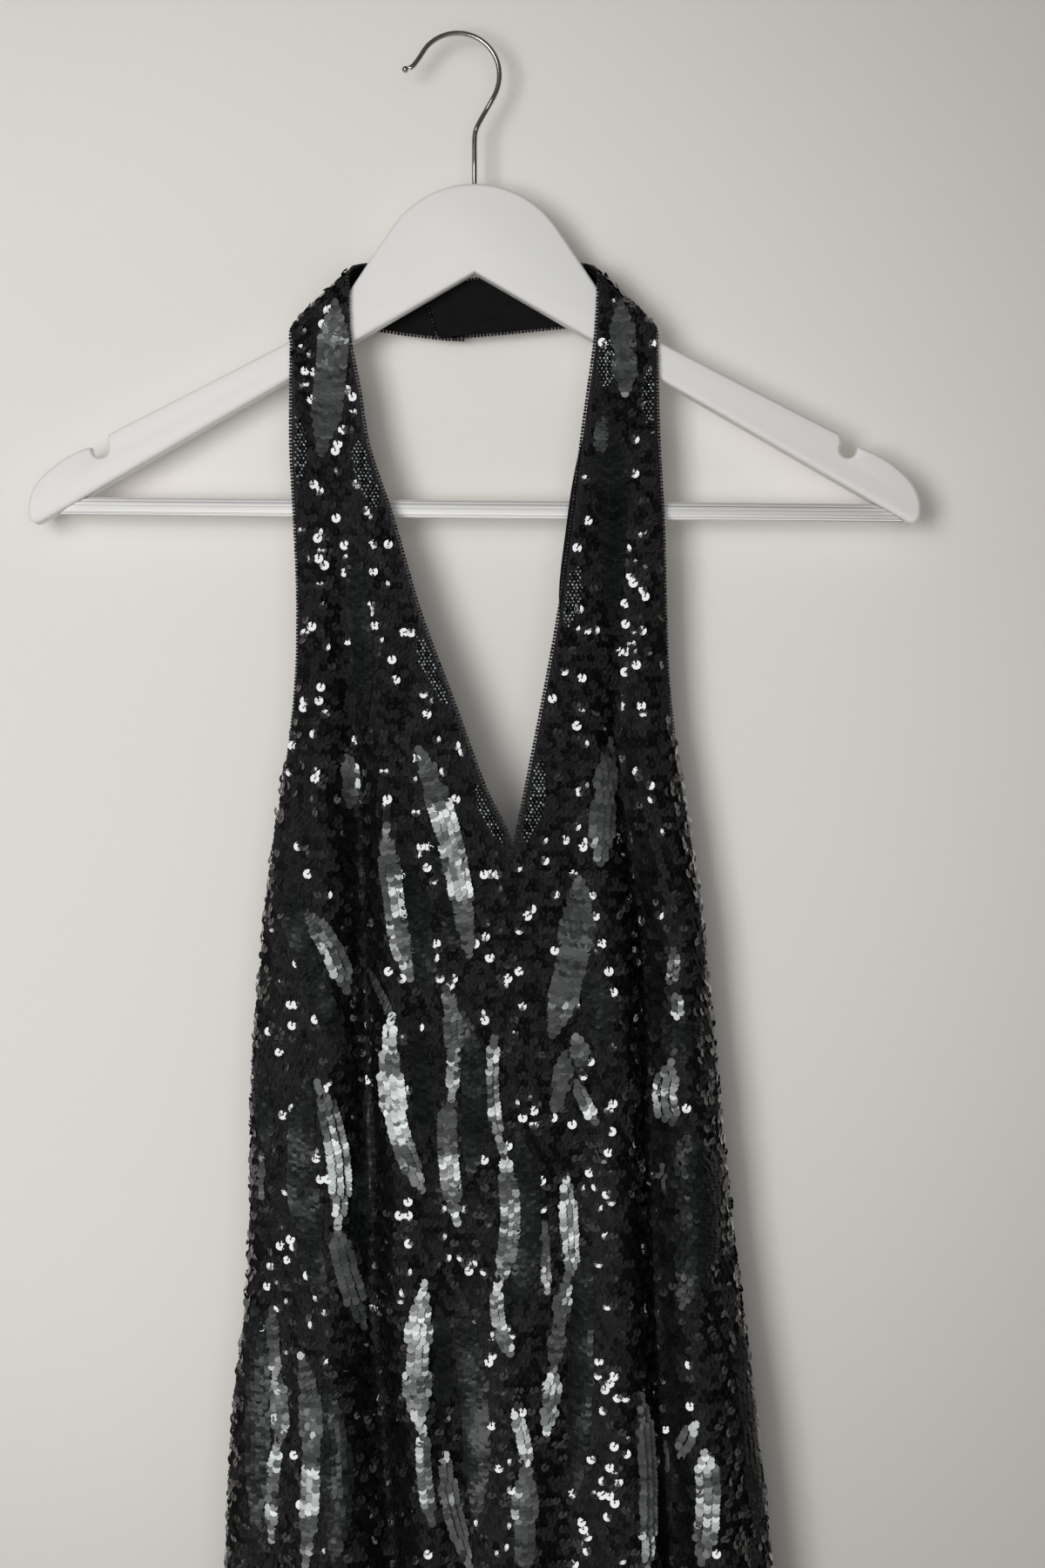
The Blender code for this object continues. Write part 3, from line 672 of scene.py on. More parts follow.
black_sequin = trimming(
    "black_sequin",
    dark=(0.0015, 0.0015, 0.002),
    light=(0.006, 0.006, 0.0065),
    roughness=(0.46, 0.58),
    metallic=0.0,
    refraction=1.22,
    scratches=900.0,
)
black_sequin.surface(
    coat_weight=black_sequin.attribute("shade").over(LOOSE_FROM, LOOSE_STEP),
    coat_roughness=0.08,
    coat_ior=1.8,
)
# Painted reflection: this pale colour is partly the sequins' own and partly stands in for the room reflected
# in them.
silver_and_painted_reflection_sequin = trimming(
    "smoky_and_painted_reflection_sequin",
    dark=(0.05, 0.055, 0.055),
    light=(0.23, 0.242, 0.24),
    roughness=(0.24, 0.36),
    metallic=0.6,
    refraction=1.5,
    scratches=700.0,
)
# Painted shade: this dark colour is partly the sequins' own and partly stands in for shade on sequins turned
# from the light.
graphite_and_painted_shade_sequin = trimming(
    "graphite_and_painted_shade_sequin",
    dark=(0.003, 0.004, 0.0045),
    light=(0.017, 0.019, 0.020),
    roughness=(0.32, 0.46),
    metallic=0.2,
    refraction=1.45,
    scratches=700.0,
)
round_bead = trimming(
    "round_bead",
    dark=(0.012, 0.012, 0.012),
    light=(0.075, 0.075, 0.074),
    roughness=(0.14, 0.26),
    metallic=0.8,
    refraction=1.5,
    scratches=500.0,
)
cut_bead = trimming(
    "cut_bead",
    dark=(0.02, 0.025, 0.027),
    light=(0.50, 0.54, 0.545),
    roughness=(0.12, 0.22),
    metallic=1.0,
    refraction=1.6,
    scratches=500.0,
)
print("finishes:", [finish.material.name for finish in (black_sequin, silver_and_painted_reflection_sequin, graphite_and_painted_shade_sequin)])

# %% [markdown]
# ## The sheets of cloth
#
# The front, the back, the two halves of the neck band and the two linings are each one sheet. Every sheet
# is a grid of points laid out by the formula. Its doubles are merged where two grids share a row, the faces
# of a mirrored grid are turned round so that all point outwards, and a Solidify modifier gives it a cloth's
# thickness. Its UV map is in metres, so that a thread of the weave is as fine on every sheet.

# %% Sheet builder
CLOTH = 1.2 * MM
LINING = 0.7 * MM
LINING_DEPTH = 1.5 * MM
MERGE = 0.02 * MM
CLOTH_SMOOTH = math.radians(60.0)


def deselected():
    if bpy.context.mode != "OBJECT":
        bpy.ops.object.mode_set(mode="OBJECT")
    bpy.ops.object.select_all(action="DESELECT")


def made_active(thing):
    deselected()
    thing.select_set(True)
    bpy.context.view_layer.objects.active = thing


def new_piece(name, points, faces, finish):
    mesh = bpy.data.meshes.new(name)
    mesh.from_pydata(points, [], faces)
    mesh.materials.append(finish.material)
    thing = bpy.data.objects.new(name, mesh)
    bpy.context.scene.collection.objects.link(thing)
    return thing


def run_lengths(points, axis):
    """How far each point lies along its row or column of cloth, in metres."""
    steps = np.linalg.norm(np.diff(points, axis=axis), axis=-1)
    return np.concatenate([np.zeros_like(np.take(steps, [0], axis)), np.cumsum(steps, axis)], axis)


def cloth_sheet(name, grids, thickness, finish):
    """One piece of cloth from grids that share their edges."""
    points, faces, corner_uv, start = [], [], [], 0
    for grid in grids:
        rows, columns = grid.points.shape[:2]
        number = start + np.arange(rows * columns).reshape(rows, columns)
        quads = np.stack([number[:-1, :-1], number[:-1, 1:], number[1:, 1:], number[1:, :-1]], axis=-1)
        quads = quads.reshape(-1, 4)
        faces += (quads[:, ::-1] if grid.flipped else quads).tolist()
        points.append(grid.points.reshape(-1, 3))
        uv = np.stack([run_lengths(grid.points, 1), run_lengths(grid.points, 0)], axis=-1)
        corner_uv.append(uv.reshape(-1, 2))
        start += rows * columns
    uv = np.concatenate(corner_uv)
    sheet = new_piece(name, np.concatenate(points), faces, finish)
    layer = sheet.data.uv_layers.new(name="cloth")
    layer.data.foreach_set("uv", uv[np.array(faces).ravel()].ravel())
    made_active(sheet)
    bpy.ops.object.mode_set(mode="EDIT")
    bpy.ops.mesh.select_all(action="SELECT")
    bpy.ops.mesh.remove_doubles(threshold=MERGE)
    bpy.ops.object.mode_set(mode="OBJECT")
    wall = sheet.modifiers.new("wall", "SOLIDIFY")
    wall.thickness = thickness
    wall.offset = 0.0
    wall.use_even_offset = False
    bpy.ops.object.modifier_apply(modifier=wall.name)
    bpy.ops.object.shade_smooth_by_angle(angle=CLOTH_SMOOTH)
    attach(sheet, "root")
    print(name, len(sheet.data.polygons), "faces")
    return sheet


# %% [markdown]
# The front is laid out in three grids. Below the point of the V its two halves run on as one, so that no
# seam shows under the sequins. Above it each strap is a grid of its own, which shares its lowest row with
# the rest.

# %% Front and back cloth
whole_rows = [np.concatenate([left, right[::-1][1:]]) for left, right in zip(left_rows, right_rows)]
front_body = Grid(whole_rows[:joined_rows])
straps = {
    "left": Grid(left_rows[joined_rows - 1 :]),
    "right": Grid(right_rows[joined_rows - 1 :], flipped=True),
}
front_cloth = cloth_sheet("front_cloth", [front_body, straps["left"], straps["right"]], CLOTH, net)
back_cloth = cloth_sheet("back_cloth", [back_grid], CLOTH, net)
band_cloth = {side: cloth_sheet(f"neck_band_{side}_cloth", [bands[side]], CLOTH, net) for side in bands}

# %% [markdown]
# The lining is a facing: it backs each strap from a hand below the hanger, goes over the arm inside it
# and backs the neck band, where the camera sees its plain side. It stops just short of the beaded edges,
# but on the right strap it has rolled out past them a little.

# %% Lining
FACING_BOTTOM_Z = -300.0 * MM
LINING_INSET = 1.2 * MM
LINING_ROLL = Curves(
    ("z", "out"),
    [
        (-300, -1.2),
        (-285, -0.6),
        (-272, 1.8),
        (-250, 2.8),
        (-215, 2.2),
        (-200, 0.6),
        (-190, -1.2),
        (-120, -1.2),
    ],
)


def lining_grid(side):
    """The facing of one strap and its half of the band, a little inside them and short of their edges."""
    strap = straps[side].points
    first = int(np.argmax(strap[:, 0, 2] > FACING_BOTTOM_Z))
    joined = Grid(np.concatenate([strap[first:-1], bands[side].points]), flipped=side == "right")
    out = joined.out
    rows = joined.points
    roll = np.full(len(rows), -LINING_INSET)
    if side == "right":
        in_front = rows[:, -1, 1] < 0
        roll[in_front] = LINING_ROLL.at("out", rows[in_front, -1, 2])
    for edge, beside, reach in ((0, 1, np.full(len(rows), -LINING_INSET)), (-1, -2, roll)):
        rows[:, edge] += unit(rows[:, edge] - rows[:, beside]) * reach[:, None]
    joined.points = rows - out * LINING_DEPTH
    return joined


linings = {side: lining_grid(side) for side in ("left", "right")}
lining_sheets = {}
for side, grid in linings.items():
    lining_sheets[side] = cloth_sheet(f"lining_{side}_cloth", [grid], LINING, lining_cloth)

# %% [markdown]
# ## The sequins and the bead
#
# Each is modelled once. The near sequin is a circle whose edge is extruded inwards to a small hole and
# pressed into a shallow cup. One of its faces is taken out, because the stitch that holds it pulls the
# rim down there and leaves a dark notch. The far sequins and those of the flames are plain discs, and the
# bead is a small sphere.

# %% Prototypes
SEQUIN_SIDES = 9
HOLE_SHARE = 0.20
CUP_DEPTH = 0.025
NOTCH_TO_THE_RIGHT = 0.3
PLAIN_SIDES = 6
FLAME_SIDES = 8
BEAD_SEGMENTS, BEAD_RINGS = 8, 4
FACING_DOWN = -1e-3


def taken_as_prototype():
    """The active object's points and faces, after which the object is removed."""
    thing = bpy.context.object
    points = np.array([v.co for v in thing.data.vertices])
    faces = [list(face.vertices) for face in thing.data.polygons]
    if sum(face.normal.z for face in thing.data.polygons) < FACING_DOWN:
        faces = [face[::-1] for face in faces]
    bpy.data.objects.remove(thing)
    return points, faces


def sequin_prototype():
    deselected()
    bpy.ops.mesh.primitive_circle_add(vertices=SEQUIN_SIDES, radius=1.0, fill_type="NOTHING")
    bpy.ops.object.mode_set(mode="EDIT")
    bpy.ops.mesh.extrude_edges_move()
    bpy.ops.transform.resize(value=(HOLE_SHARE, HOLE_SHARE, 1.0))
    bpy.ops.transform.translate(value=(0.0, 0.0, -CUP_DEPTH))
    bpy.ops.mesh.select_all(action="DESELECT")
    bpy.ops.object.mode_set(mode="OBJECT")
    faces = bpy.context.object.data.polygons
    notch = max(faces, key=lambda face: NOTCH_TO_THE_RIGHT * face.center.x + face.center.y)
    notch.select = True
    bpy.ops.object.mode_set(mode="EDIT")
    bpy.ops.mesh.select_mode(type="FACE")
    bpy.ops.mesh.delete(type="FACE")
    bpy.ops.object.mode_set(mode="OBJECT")
    return taken_as_prototype()


def disc_prototype(sides):
    deselected()
    bpy.ops.mesh.primitive_circle_add(vertices=sides, radius=1.0, fill_type="NGON")
    return taken_as_prototype()


def bead_prototype():
    deselected()
    bpy.ops.mesh.primitive_uv_sphere_add(segments=BEAD_SEGMENTS, ring_count=BEAD_RINGS, radius=1.0)
    return taken_as_prototype()


ring_sequin = sequin_prototype()
plain_sequin = disc_prototype(PLAIN_SIDES)
flame_sequin = disc_prototype(FLAME_SIDES)
bead = bead_prototype()
print("sequin", len(ring_sequin[1]), "faces, bead", len(bead[1]), "faces")


# %% [markdown]
# ## Sewing many copies
#
# A copy needs a place and three directions: across, up and out of the cloth. With those in arrays, every
# corner of every copy comes from one product, and the copies become one joined piece. A smooth random
# swell makes neighbours lean alike, as they do on real cloth, and a small draw of its own sets each a
# little apart.

# %% Copies
SWELL_LENGTH = 20.0 * MM
SWELL_WAVES = 10


def swell(places, seed):
    """A smooth random number over space, with a spread of one."""
    draw = np.random.default_rng(seed)
    ways = unit(draw.normal(size=(SWELL_WAVES, 3))) * 2 * math.pi / SWELL_LENGTH
    phases = draw.uniform(0, 2 * math.pi, SWELL_WAVES)
    return np.sin(places @ ways.T + phases).sum(axis=1) * math.sqrt(2.0 / SWELL_WAVES)


def leaning(across, up, out, lean_up, lean_across, spin):
    """Directions leant and spun by these angles, in radians, one set for each copy."""
    out = unit(out + np.tan(lean_up)[:, None] * up + np.tan(lean_across)[:, None] * across)
    across = unit(across - (across * out).sum(axis=1, keepdims=True) * out)
    up = np.cross(out, across)
    c, s = np.cos(spin)[:, None], np.sin(spin)[:, None]
    return np.stack([across * c + up * s, up * c - across * s, out], axis=1)


def sewn(name, prototype, places, axes, sizes, shades, finish, smooth):
    """One joined piece with a copy of the prototype at every place."""
    shape, faces = prototype
    corners = places[:, None] + sizes[:, None, None] * np.einsum("pk,nkj->npj", shape, axes)
    offsets = np.arange(len(places)) * len(shape)
    lengths = {len(face) for face in faces}
    numbers = []
    for length in lengths:
        block = np.array([face for face in faces if len(face) == length])
        numbers += (block[None] + offsets[:, None, None]).reshape(-1, length).tolist()
    piece = new_piece(name, corners.reshape(-1, 3), numbers, finish)
    shade = piece.data.attributes.new("shade", "FLOAT", "POINT")
    shade.data.foreach_set("value", np.repeat(shades, len(shape)).astype(np.float32))
    piece.data.polygons.foreach_set("use_smooth", np.full(len(numbers), smooth))
    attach(piece, "root")
    triangles = sum(len(number) - 2 for number in numbers)
    print(name, len(places), "copies,", triangles, "triangles")
    return piece


# %% [markdown]
# ## Rows of sequins
#
# Sequins are sewn in rows, each row set over by half a step like bricks. The rows follow the cloth, so
# their places are found on the grids, a step at a time along the true length of the cloth.

# %% Brick rows
WOBBLE = 0.25 * MM


def run_along(line):
    """How far each point of a line lies along it."""
    return np.concatenate([[0], np.cumsum(np.linalg.norm(np.diff(line, axis=0), axis=-1))])


def read_along(values, run, at):
    """Values given along a line, read at these distances along it."""
    return np.stack([np.interp(at, run, column) for column in values.T], axis=-1)


def between(values, rows, columns):
    """Values of a grid between its rows and columns."""
    r = np.clip(rows.astype(int), 0, values.shape[0] - 2)
    c = np.clip(columns.astype(int), 0, values.shape[1] - 2)
    fr, fc = (rows - r)[:, None], (columns - c)[:, None]
    low = values[r, c] * (1 - fc) + values[r, c + 1] * fc
    high = values[r + 1, c] * (1 - fc) + values[r + 1, c + 1] * fc
    return low * (1 - fr) + high * fr


def brick_rows(grid, up_pitch, across_pitch, margins, anchor):
    """Places on a grid in brick rows, with the directions across, up and out at each."""
    count = grid.points.shape[1]
    steps = np.linalg.norm(np.diff(grid.points, axis=0), axis=-1).mean(axis=1)
    climbed = np.concatenate([[0], np.cumsum(steps)])
    all_columns = np.arange(count, dtype=float)
    rows, columns = [], []
    foot, head, side = margins
    for k, height in enumerate(np.arange(foot, climbed[-1] - head, up_pitch)):
        r = np.interp(height, climbed, np.arange(len(climbed)))
        line = between(grid.points, np.full(count, r), all_columns)
        run = run_along(line)
        start = np.interp(anchor * (count - 1), all_columns, run)
        first = math.ceil((side - start) / across_pitch - k % 2 / 2)
        last = math.floor((run[-1] - side - start) / across_pitch - k % 2 / 2)
        at = start + across_pitch * (np.arange(first, last + 1) + k % 2 / 2)
        at = at + rng.normal(0, WOBBLE, len(at))
        columns.append(np.interp(at, run, all_columns))
        rows.append(np.full(len(at), r))
    rows, columns = np.concatenate(rows), np.concatenate(columns)
    out = unit(between(grid.out, rows, columns))
    up = unit(between(np.gradient(grid.points, axis=0), rows, columns))
    across = unit(np.cross(up, out))
    return between(grid.points, rows, columns), across, np.cross(out, across), out


# %% [markdown]
# ## Flames
#
# Each flame is a chain of long tapering tongues. A tongue is given by its tone, three points of its
# middle line and its greatest width, in pixels of the picture. All but the dark ones are smoky silver
# sequins stacked like coins that lean on each other: the bright ones keep turned to the window, and the
# fine ones have smaller sequins. The dark ones are graphite, finer and closer. The silver's pale colour
# is partly a painted reflection, and the graphite's dark colour is partly painted shade. A leaf of beads is
# given by its two ends and its width.

# %% Flame table
BRIGHT, LIGHT, DARK, FINE = "bright", "light", "dark", "fine"
TONGUES = [
    (LIGHT, (385, 345), (380, 430), (369, 524), 32),
    (LIGHT, (712, 345), (716, 400), (718, 455), 24),
    (DARK, (690, 449), (702, 580), (700, 717), 30),
    (FINE, (694, 478), (690, 500), (690, 522), 12),
    (DARK, (404, 622), (416, 730), (420, 835), 24),
    (LIGHT, (392, 868), (400, 895), (396, 925), 20),
    (LIGHT, (480, 858), (515, 960), (540, 1100), 26),
    (DARK, (500, 930), (515, 1010), (520, 1090), 26),
    (LIGHT, (700, 848), (692, 920), (688, 995), 24),
    (LIGHT, (445, 945), (455, 1050), (472, 1126), 20),
    (DARK, (468, 990), (482, 1070), (492, 1150), 26),
    (DARK, (337, 1012), (350, 1090), (399, 1215), 26),
    (LIGHT, (352, 1045), (378, 1085), (395, 1140), 20),
    (LIGHT, (664, 1006), (660, 1085), (633, 1190), 34),
    (DARK, (677, 1117), (688, 1160), (692, 1205), 30),
    (LIGHT, (660, 1188), (665, 1205), (668, 1225), 16),
    (LIGHT, (648, 1205), (645, 1240), (635, 1276), 16),
    (BRIGHT, (660, 1240), (671, 1264), (686, 1290), 11),
    (LIGHT, (511, 1132), (521, 1185), (518, 1264), 16),
    (LIGHT, (518, 1264), (514, 1317), (526, 1408), 20),
    (DARK, (532, 1161), (545, 1260), (540, 1352), 26),
    (FINE, (423, 1111), (440, 1140), (452, 1170), 10),
    (BRIGHT, (452, 1164), (454, 1270), (485, 1367), 22),
    (DARK, (473, 1164), (484, 1240), (485, 1322), 20),
    (BRIGHT, (569, 1188), (565, 1250), (576, 1318), 13),
    (LIGHT, (577, 1314), (586, 1400), (573, 1475), 20),
    (LIGHT, (572, 1470), (573, 1515), (588, 1556), 14),
    (DARK, (594, 1300), (606, 1400), (592, 1520), 26),
    (FINE, (774, 1085), (775, 1110), (772, 1130), 8),
    (FINE, (776, 1141), (779, 1155), (778, 1170), 8),
    (DARK, (783, 1176), (782, 1190), (775, 1212), 34),
    (BRIGHT, (775, 1217), (770, 1260), (777, 1290), 20),
    (FINE, (768, 1336), (769, 1352), (771, 1370), 6),
    (DARK, (785, 1304), (803, 1380), (786, 1500), 40),
    (DARK, (294, 1205), (303, 1260), (309, 1322), 20),
    (FINE, (303, 1322), (303, 1350), (303, 1375), 6),
    (BRIGHT, (366, 1240), (386, 1320), (387, 1408), 18),
    (LIGHT, (386, 1408), (396, 1460), (412, 1522), 20),
    (DARK, (356, 1235), (350, 1360), (376, 1500), 34),
    (DARK, (408, 1337), (410, 1390), (402, 1440), 20),
    (BRIGHT, (648, 1346), (653, 1410), (655, 1464), 18),
    (LIGHT, (652, 1460), (642, 1512), (634, 1574), 15),
    (BRIGHT, (634, 1568), (631, 1604), (626, 1644), 16),
    (DARK, (674, 1437), (668, 1560), (666, 1710), 26),
    (FINE, (625, 1402), (625, 1445), (628, 1485), 9),
    (DARK, (420, 1250), (422, 1320), (425, 1400), 18),
    (BRIGHT, (487, 1470), (480, 1560), (483, 1642), 22),
    (LIGHT, (486, 1636), (488, 1692), (496, 1750), 14),
    (DARK, (502, 1500), (508, 1560), (506, 1640), 18),
    (DARK, (526, 1480), (545, 1610), (548, 1740), 30),
    (BRIGHT, (510, 1666), (516, 1726), (540, 1802), 17),
    (BRIGHT, (590, 1622), (600, 1650), (604, 1682), 14),
    (LIGHT, (604, 1676), (602, 1740), (603, 1804), 22),
    (BRIGHT, (732, 1600), (741, 1695), (739, 1806), 20),
    (DARK, (758, 1625), (765, 1710), (766, 1792), 22),
    (LIGHT, (801, 1632), (794, 1648), (789, 1674), 10),
    (BRIGHT, (808, 1664), (813, 1726), (808, 1794), 20),
    (LIGHT, (314, 1500), (314, 1540), (318, 1586), 12),
    (BRIGHT, (317, 1578), (321, 1612), (322, 1652), 20),
    (LIGHT, (320, 1648), (312, 1705), (311, 1768), 12),
    (LIGHT, (346, 1553), (360, 1640), (352, 1804), 22),
    (DARK, (372, 1580), (388, 1690), (386, 1792), 28),
    (DARK, (294, 1492), (297, 1620), (292, 1760), 24),
    (DARK, (846, 1518), (860, 1640), (868, 1770), 22),
]
LEAVES = [
    ((342, 478), (344, 556), 20),
    ((408, 503), (433, 586), 23),
    ((480, 730), (516, 811), 23),
    ((549, 898), (577, 967), 22),
    ((621, 872), (604, 968), 25),
    ((663, 650), (652, 720), 21),
    ((698, 390), (695, 448), 21),
    ((744, 424), (750, 498), 21),
    ((760, 663), (761, 694), 9),
]


# %% Tongue middle lines
WAVINESS = 0.09
WAVES = 2.3
LINE_POINTS = 33
LOW_BELLY, TAPER = 1.1, 0.8
BELLY, TIP = 1.15, 0.08
LOOKS = 3


def on_cloth(px, py):
    """The x and z of the front cloth that a pixel of the picture shows, found by looking a few times."""
    depth = 0.0
    for _ in range(LOOKS):
        x, z = from_pixel(px, py, depth)
        depth = float(body_point(angle_at(x, z), z)[1])
    return float(x), float(z)


class Tongue:
    """A tapering strip on the cloth: a curve through three points (u across, z up) and its half width."""

    def __init__(self, tone, ends, half_width):
        self.tone = tone
        self.half_width = half_width
        first, middle, last = (np.array(p, float) for p in ends)
        share = np.linspace(0, 1, LINE_POINTS)[:, None]
        bend = 2 * middle - (first + last) / 2
        self.line = (1 - share) ** 2 * first + 2 * share * (1 - share) * bend + share**2 * last
        self.run = run_along(self.line)
        f = share[:, 0]
        waves = 1 + WAVINESS * np.sin(2 * math.pi * WAVES * f + first[0] / MM)
        taper = np.minimum(1.0, np.sin(math.pi * f**LOW_BELLY) ** TAPER * BELLY + TIP)
        self.half = half_width * waves * taper

    def at(self, distance):
        """The point of the middle line this far along it."""
        return read_along(self.line, self.run, distance)

    def box(self):
        return self.line.min(axis=0) - self.half_width, self.line.max(axis=0) + self.half_width

    def covers(self, places):
        """Which of these places on the cloth lie under the strip."""
        lowest, highest = self.box()
        near = np.flatnonzero(((places > lowest) & (places < highest)).all(axis=1))
        apart = np.linalg.norm(places[near, None] - self.line[None], axis=-1)
        hidden = np.zeros(len(places), bool)
        hidden[near] = (apart < self.half[None]).any(axis=1)
        return hidden


def tongue_from_pixels(tone, first, middle, last, width):
    ends = [on_cloth(*pixel) for pixel in (first, middle, last)]
    return Tongue(tone, ends, width * PIXEL / 2)


front_tongues = [tongue_from_pixels(*row) for row in TONGUES]
whole = sum(tongue.run[-1] for tongue in front_tongues)
print(len(front_tongues), "tongues of flame,", round(float(whole), 2), "m long in all")

# %% [markdown]
# ## Sewing the ground
#
# The front's upper part is seen close, so its sequins get the full shape, with hole and notch. Lower down
# and on the back a plain six-sided disc does. None are sewn where a flame or a leaf will lie. Seen flat,
# a row leans over the one below it, and the stitch pulls each sequin's notch towards the upper right.

# %% Ground
VIEW_BOTTOM_Z = -775.0 * MM
GROUND_LIFT = 0.95 * MM
LEAN_SWELL = math.radians(3.0)
TUCKED_UP, TUCKED_ACROSS, TUCKED_OWN = np.radians([6.0, 6.0, 4.0])
LOOSE_OWN = math.radians(11.0)
LOOSE_SHARE = 0.55
LOOSE_RISE = 0.5 * MM
RISE = 0.1 * MM
RISE_CAP = 2.5
NOTCH_SWAY = math.radians(25.0)
SEQUIN_SIZES = (0.96, 1.04)
TUCKED_UP_TO, LOOSE_SHIFT = 0.95 * LOOSE_FROM, 1.05 * LOOSE_FROM
LEAF_ROUNDNESS = 0.7


def ground_axes(lay, seed):
    """How each sequin of the ground is turned, how far it rises, and which of them are loose."""
    places, across, up, out = lay
    draw = np.random.default_rng(seed)
    count = len(places)
    loose = draw.uniform(0, 1, count) < LOOSE_SHARE
    own = draw.normal(0, 1, (2, count))
    own_lean = np.where(loose, LOOSE_OWN, TUCKED_OWN)
    tucked = 1.0 - loose
    lean_up = TUCKED_UP * tucked + LEAN_SWELL * swell(places, seed + 1) + own_lean * own[0]
    lean_across = TUCKED_ACROSS * tucked + LEAN_SWELL * swell(places, seed + 2) + own_lean * own[1]
    spin = draw.normal(0, NOTCH_SWAY, count)
    rise = RISE * np.minimum(np.hypot(*own), RISE_CAP) + LOOSE_RISE * loose
    return leaning(across, up, out, lean_up, lean_across, spin), rise, loose, draw


def sew_ground(name, prototype, lay, radius, seed):
    places, _, _, out = lay
    axes, rise, loose, draw = ground_axes(lay, seed)
    lifted = places + out * (GROUND_LIFT + rise)[:, None]
    sizes = radius * draw.uniform(*SEQUIN_SIZES, len(places))
    shades = draw.uniform(0, TUCKED_UP_TO, len(places)) + LOOSE_SHIFT * loose
    return sewn(name, prototype, lifted, axes, sizes, shades, black_sequin, False)


def kept(lay, mask):
    return tuple(part[mask] for part in lay)


def leaf_patch(top, bottom, width):
    """A pointed leaf on the cloth, from the pixels of its two ends and its width."""
    middle = ((top[0] + bottom[0]) / 2, (top[1] + bottom[1]) / 2)
    leaf = tongue_from_pixels("leaf", top, middle, bottom, width)
    share = np.linspace(0, 1, len(leaf.half))
    leaf.half = leaf.half_width * np.sin(math.pi * share) ** LEAF_ROUNDNESS
    return leaf


def joined_lays(lays):
    return tuple(np.concatenate(parts) for parts in zip(*lays))


def clear_of(lay, strips):
    """The places of a lay that none of these tongues or leaves cover."""
    flat = lay[0][:, [0, 2]]
    covered = np.zeros(len(flat), bool)
    for strip in strips:
        covered |= strip.covers(flat)
    return kept(lay, ~covered)


leaves = [leaf_patch(*row) for row in LEAVES]
print(len(leaves), "leaves")

# %% [markdown]
# Below the picture's edge and on the back the flames go on. Each is a chain of tongues that grow longer
# towards the hem, some with a second one beside them, in columns that start at seeded heights.

# %% Seeded flames
SEED_FRONT, SEED_BACK = 41, 67
SKIRT_TOP_Z, SKIRT_STAGGER = -790 * MM, 90 * MM
BACK_TOP_Z, BACK_STAGGER = -560 * MM, 150 * MM
FLAME_COLUMNS = 8
COLUMN_REACH, COLUMN_DRAW = 0.86, 0.05
TONGUE_LENGTHS, TONGUE_GAPS, TONGUE_HALVES = (70, 110), (20, 60), (4.0, 6.5)
GROWTH = 0.5
BEND = 5
LIGHT_CHANCE, PAIR_CHANCE = 0.55, 0.6
PAIR_APART, PAIR_DROP, PAIR_WIDTH = (7, 10), 25 * MM, 0.8
LAST_START, HEM_CLEARANCE = 60 * MM, 10 * MM


def seeded_tongues(seed, top_z, stagger):
    """Chains of light and dark tongues from this height to the hem, on the flat (x, z) of one side."""
    draw = np.random.default_rng(seed)
    made = []
    for column in range(FLAME_COLUMNS):
        z = top_z - draw.uniform(0, stagger)
        share = (column + 0.5) / FLAME_COLUMNS * 2 - 1
        while z > HEM_Z + LAST_START:
            grown = min(1.0, (top_z - z) / (top_z - HEM_Z))
            length = draw.uniform(*TONGUE_LENGTHS) * MM * (1 + GROWTH * grown)
            bottom = max(z - length, HEM_Z + HEM_CLEARANCE)
            spread = draw.uniform(-COLUMN_DRAW, COLUMN_DRAW)
            levels = (z, (z + bottom) / 2, bottom)
            xs = [body_middle(h) + body_half(h) * (share * COLUMN_REACH + spread) for h in levels]
            xs[1] += draw.uniform(-BEND, BEND) * MM
            tone = LIGHT if draw.uniform() < LIGHT_CHANCE else DARK
            half_width = draw.uniform(*TONGUE_HALVES) * MM
            made.append(Tongue(tone, zip(xs, levels), half_width))
            if draw.uniform() < PAIR_CHANCE:
                shift = draw.choice([-1, 1]) * draw.uniform(*PAIR_APART) * MM
                ends = [(x + shift, h - PAIR_DROP) for x, h in zip(xs, levels)]
                if ends[2][1] > HEM_Z + HEM_CLEARANCE:
                    made.append(Tongue(DARK if tone == LIGHT else LIGHT, ends, half_width * PAIR_WIDTH))
            z = bottom - draw.uniform(*TONGUE_GAPS) * MM
    return made


skirt_tongues = seeded_tongues(SEED_FRONT, SKIRT_TOP_Z, SKIRT_STAGGER)
back_tongues = seeded_tongues(SEED_BACK, BACK_TOP_Z, BACK_STAGGER)
print(len(skirt_tongues), "more on the skirt and", len(back_tongues), "on the back")

# %% Sew the ground
UPPER_PITCH = (3.3 * MM, 3.6 * MM)
UPPER_RADIUS = 2.3 * MM
LOWER_PITCH = (3.9 * MM, 4.2 * MM)
LOWER_RADIUS = 2.6 * MM
EDGE_MARGIN = 1.9 * MM
BODY_MARGINS = (EDGE_MARGIN, 0.0, EDGE_MARGIN)
FROM_MIDDLE, FROM_V = 0.5, 1.0

body_climb = run_lengths(front_body.points, 0)[-1].mean()
strap_foot = UPPER_PITCH[0] - (body_climb - EDGE_MARGIN) % UPPER_PITCH[0]
body_lay = brick_rows(front_body, *UPPER_PITCH, BODY_MARGINS, FROM_MIDDLE)
upper = body_lay[0][:, 2] > VIEW_BOTTOM_Z
strap_margins = (strap_foot, 0.0, EDGE_MARGIN)
strap_lays = [brick_rows(strap, *UPPER_PITCH, strap_margins, FROM_V) for strap in straps.values()]
upper_lay = clear_of(joined_lays([kept(body_lay, upper), *strap_lays]), front_tongues + leaves)
bodice_sequins = sew_ground("bodice_sequins", ring_sequin, upper_lay, UPPER_RADIUS, seed=101)

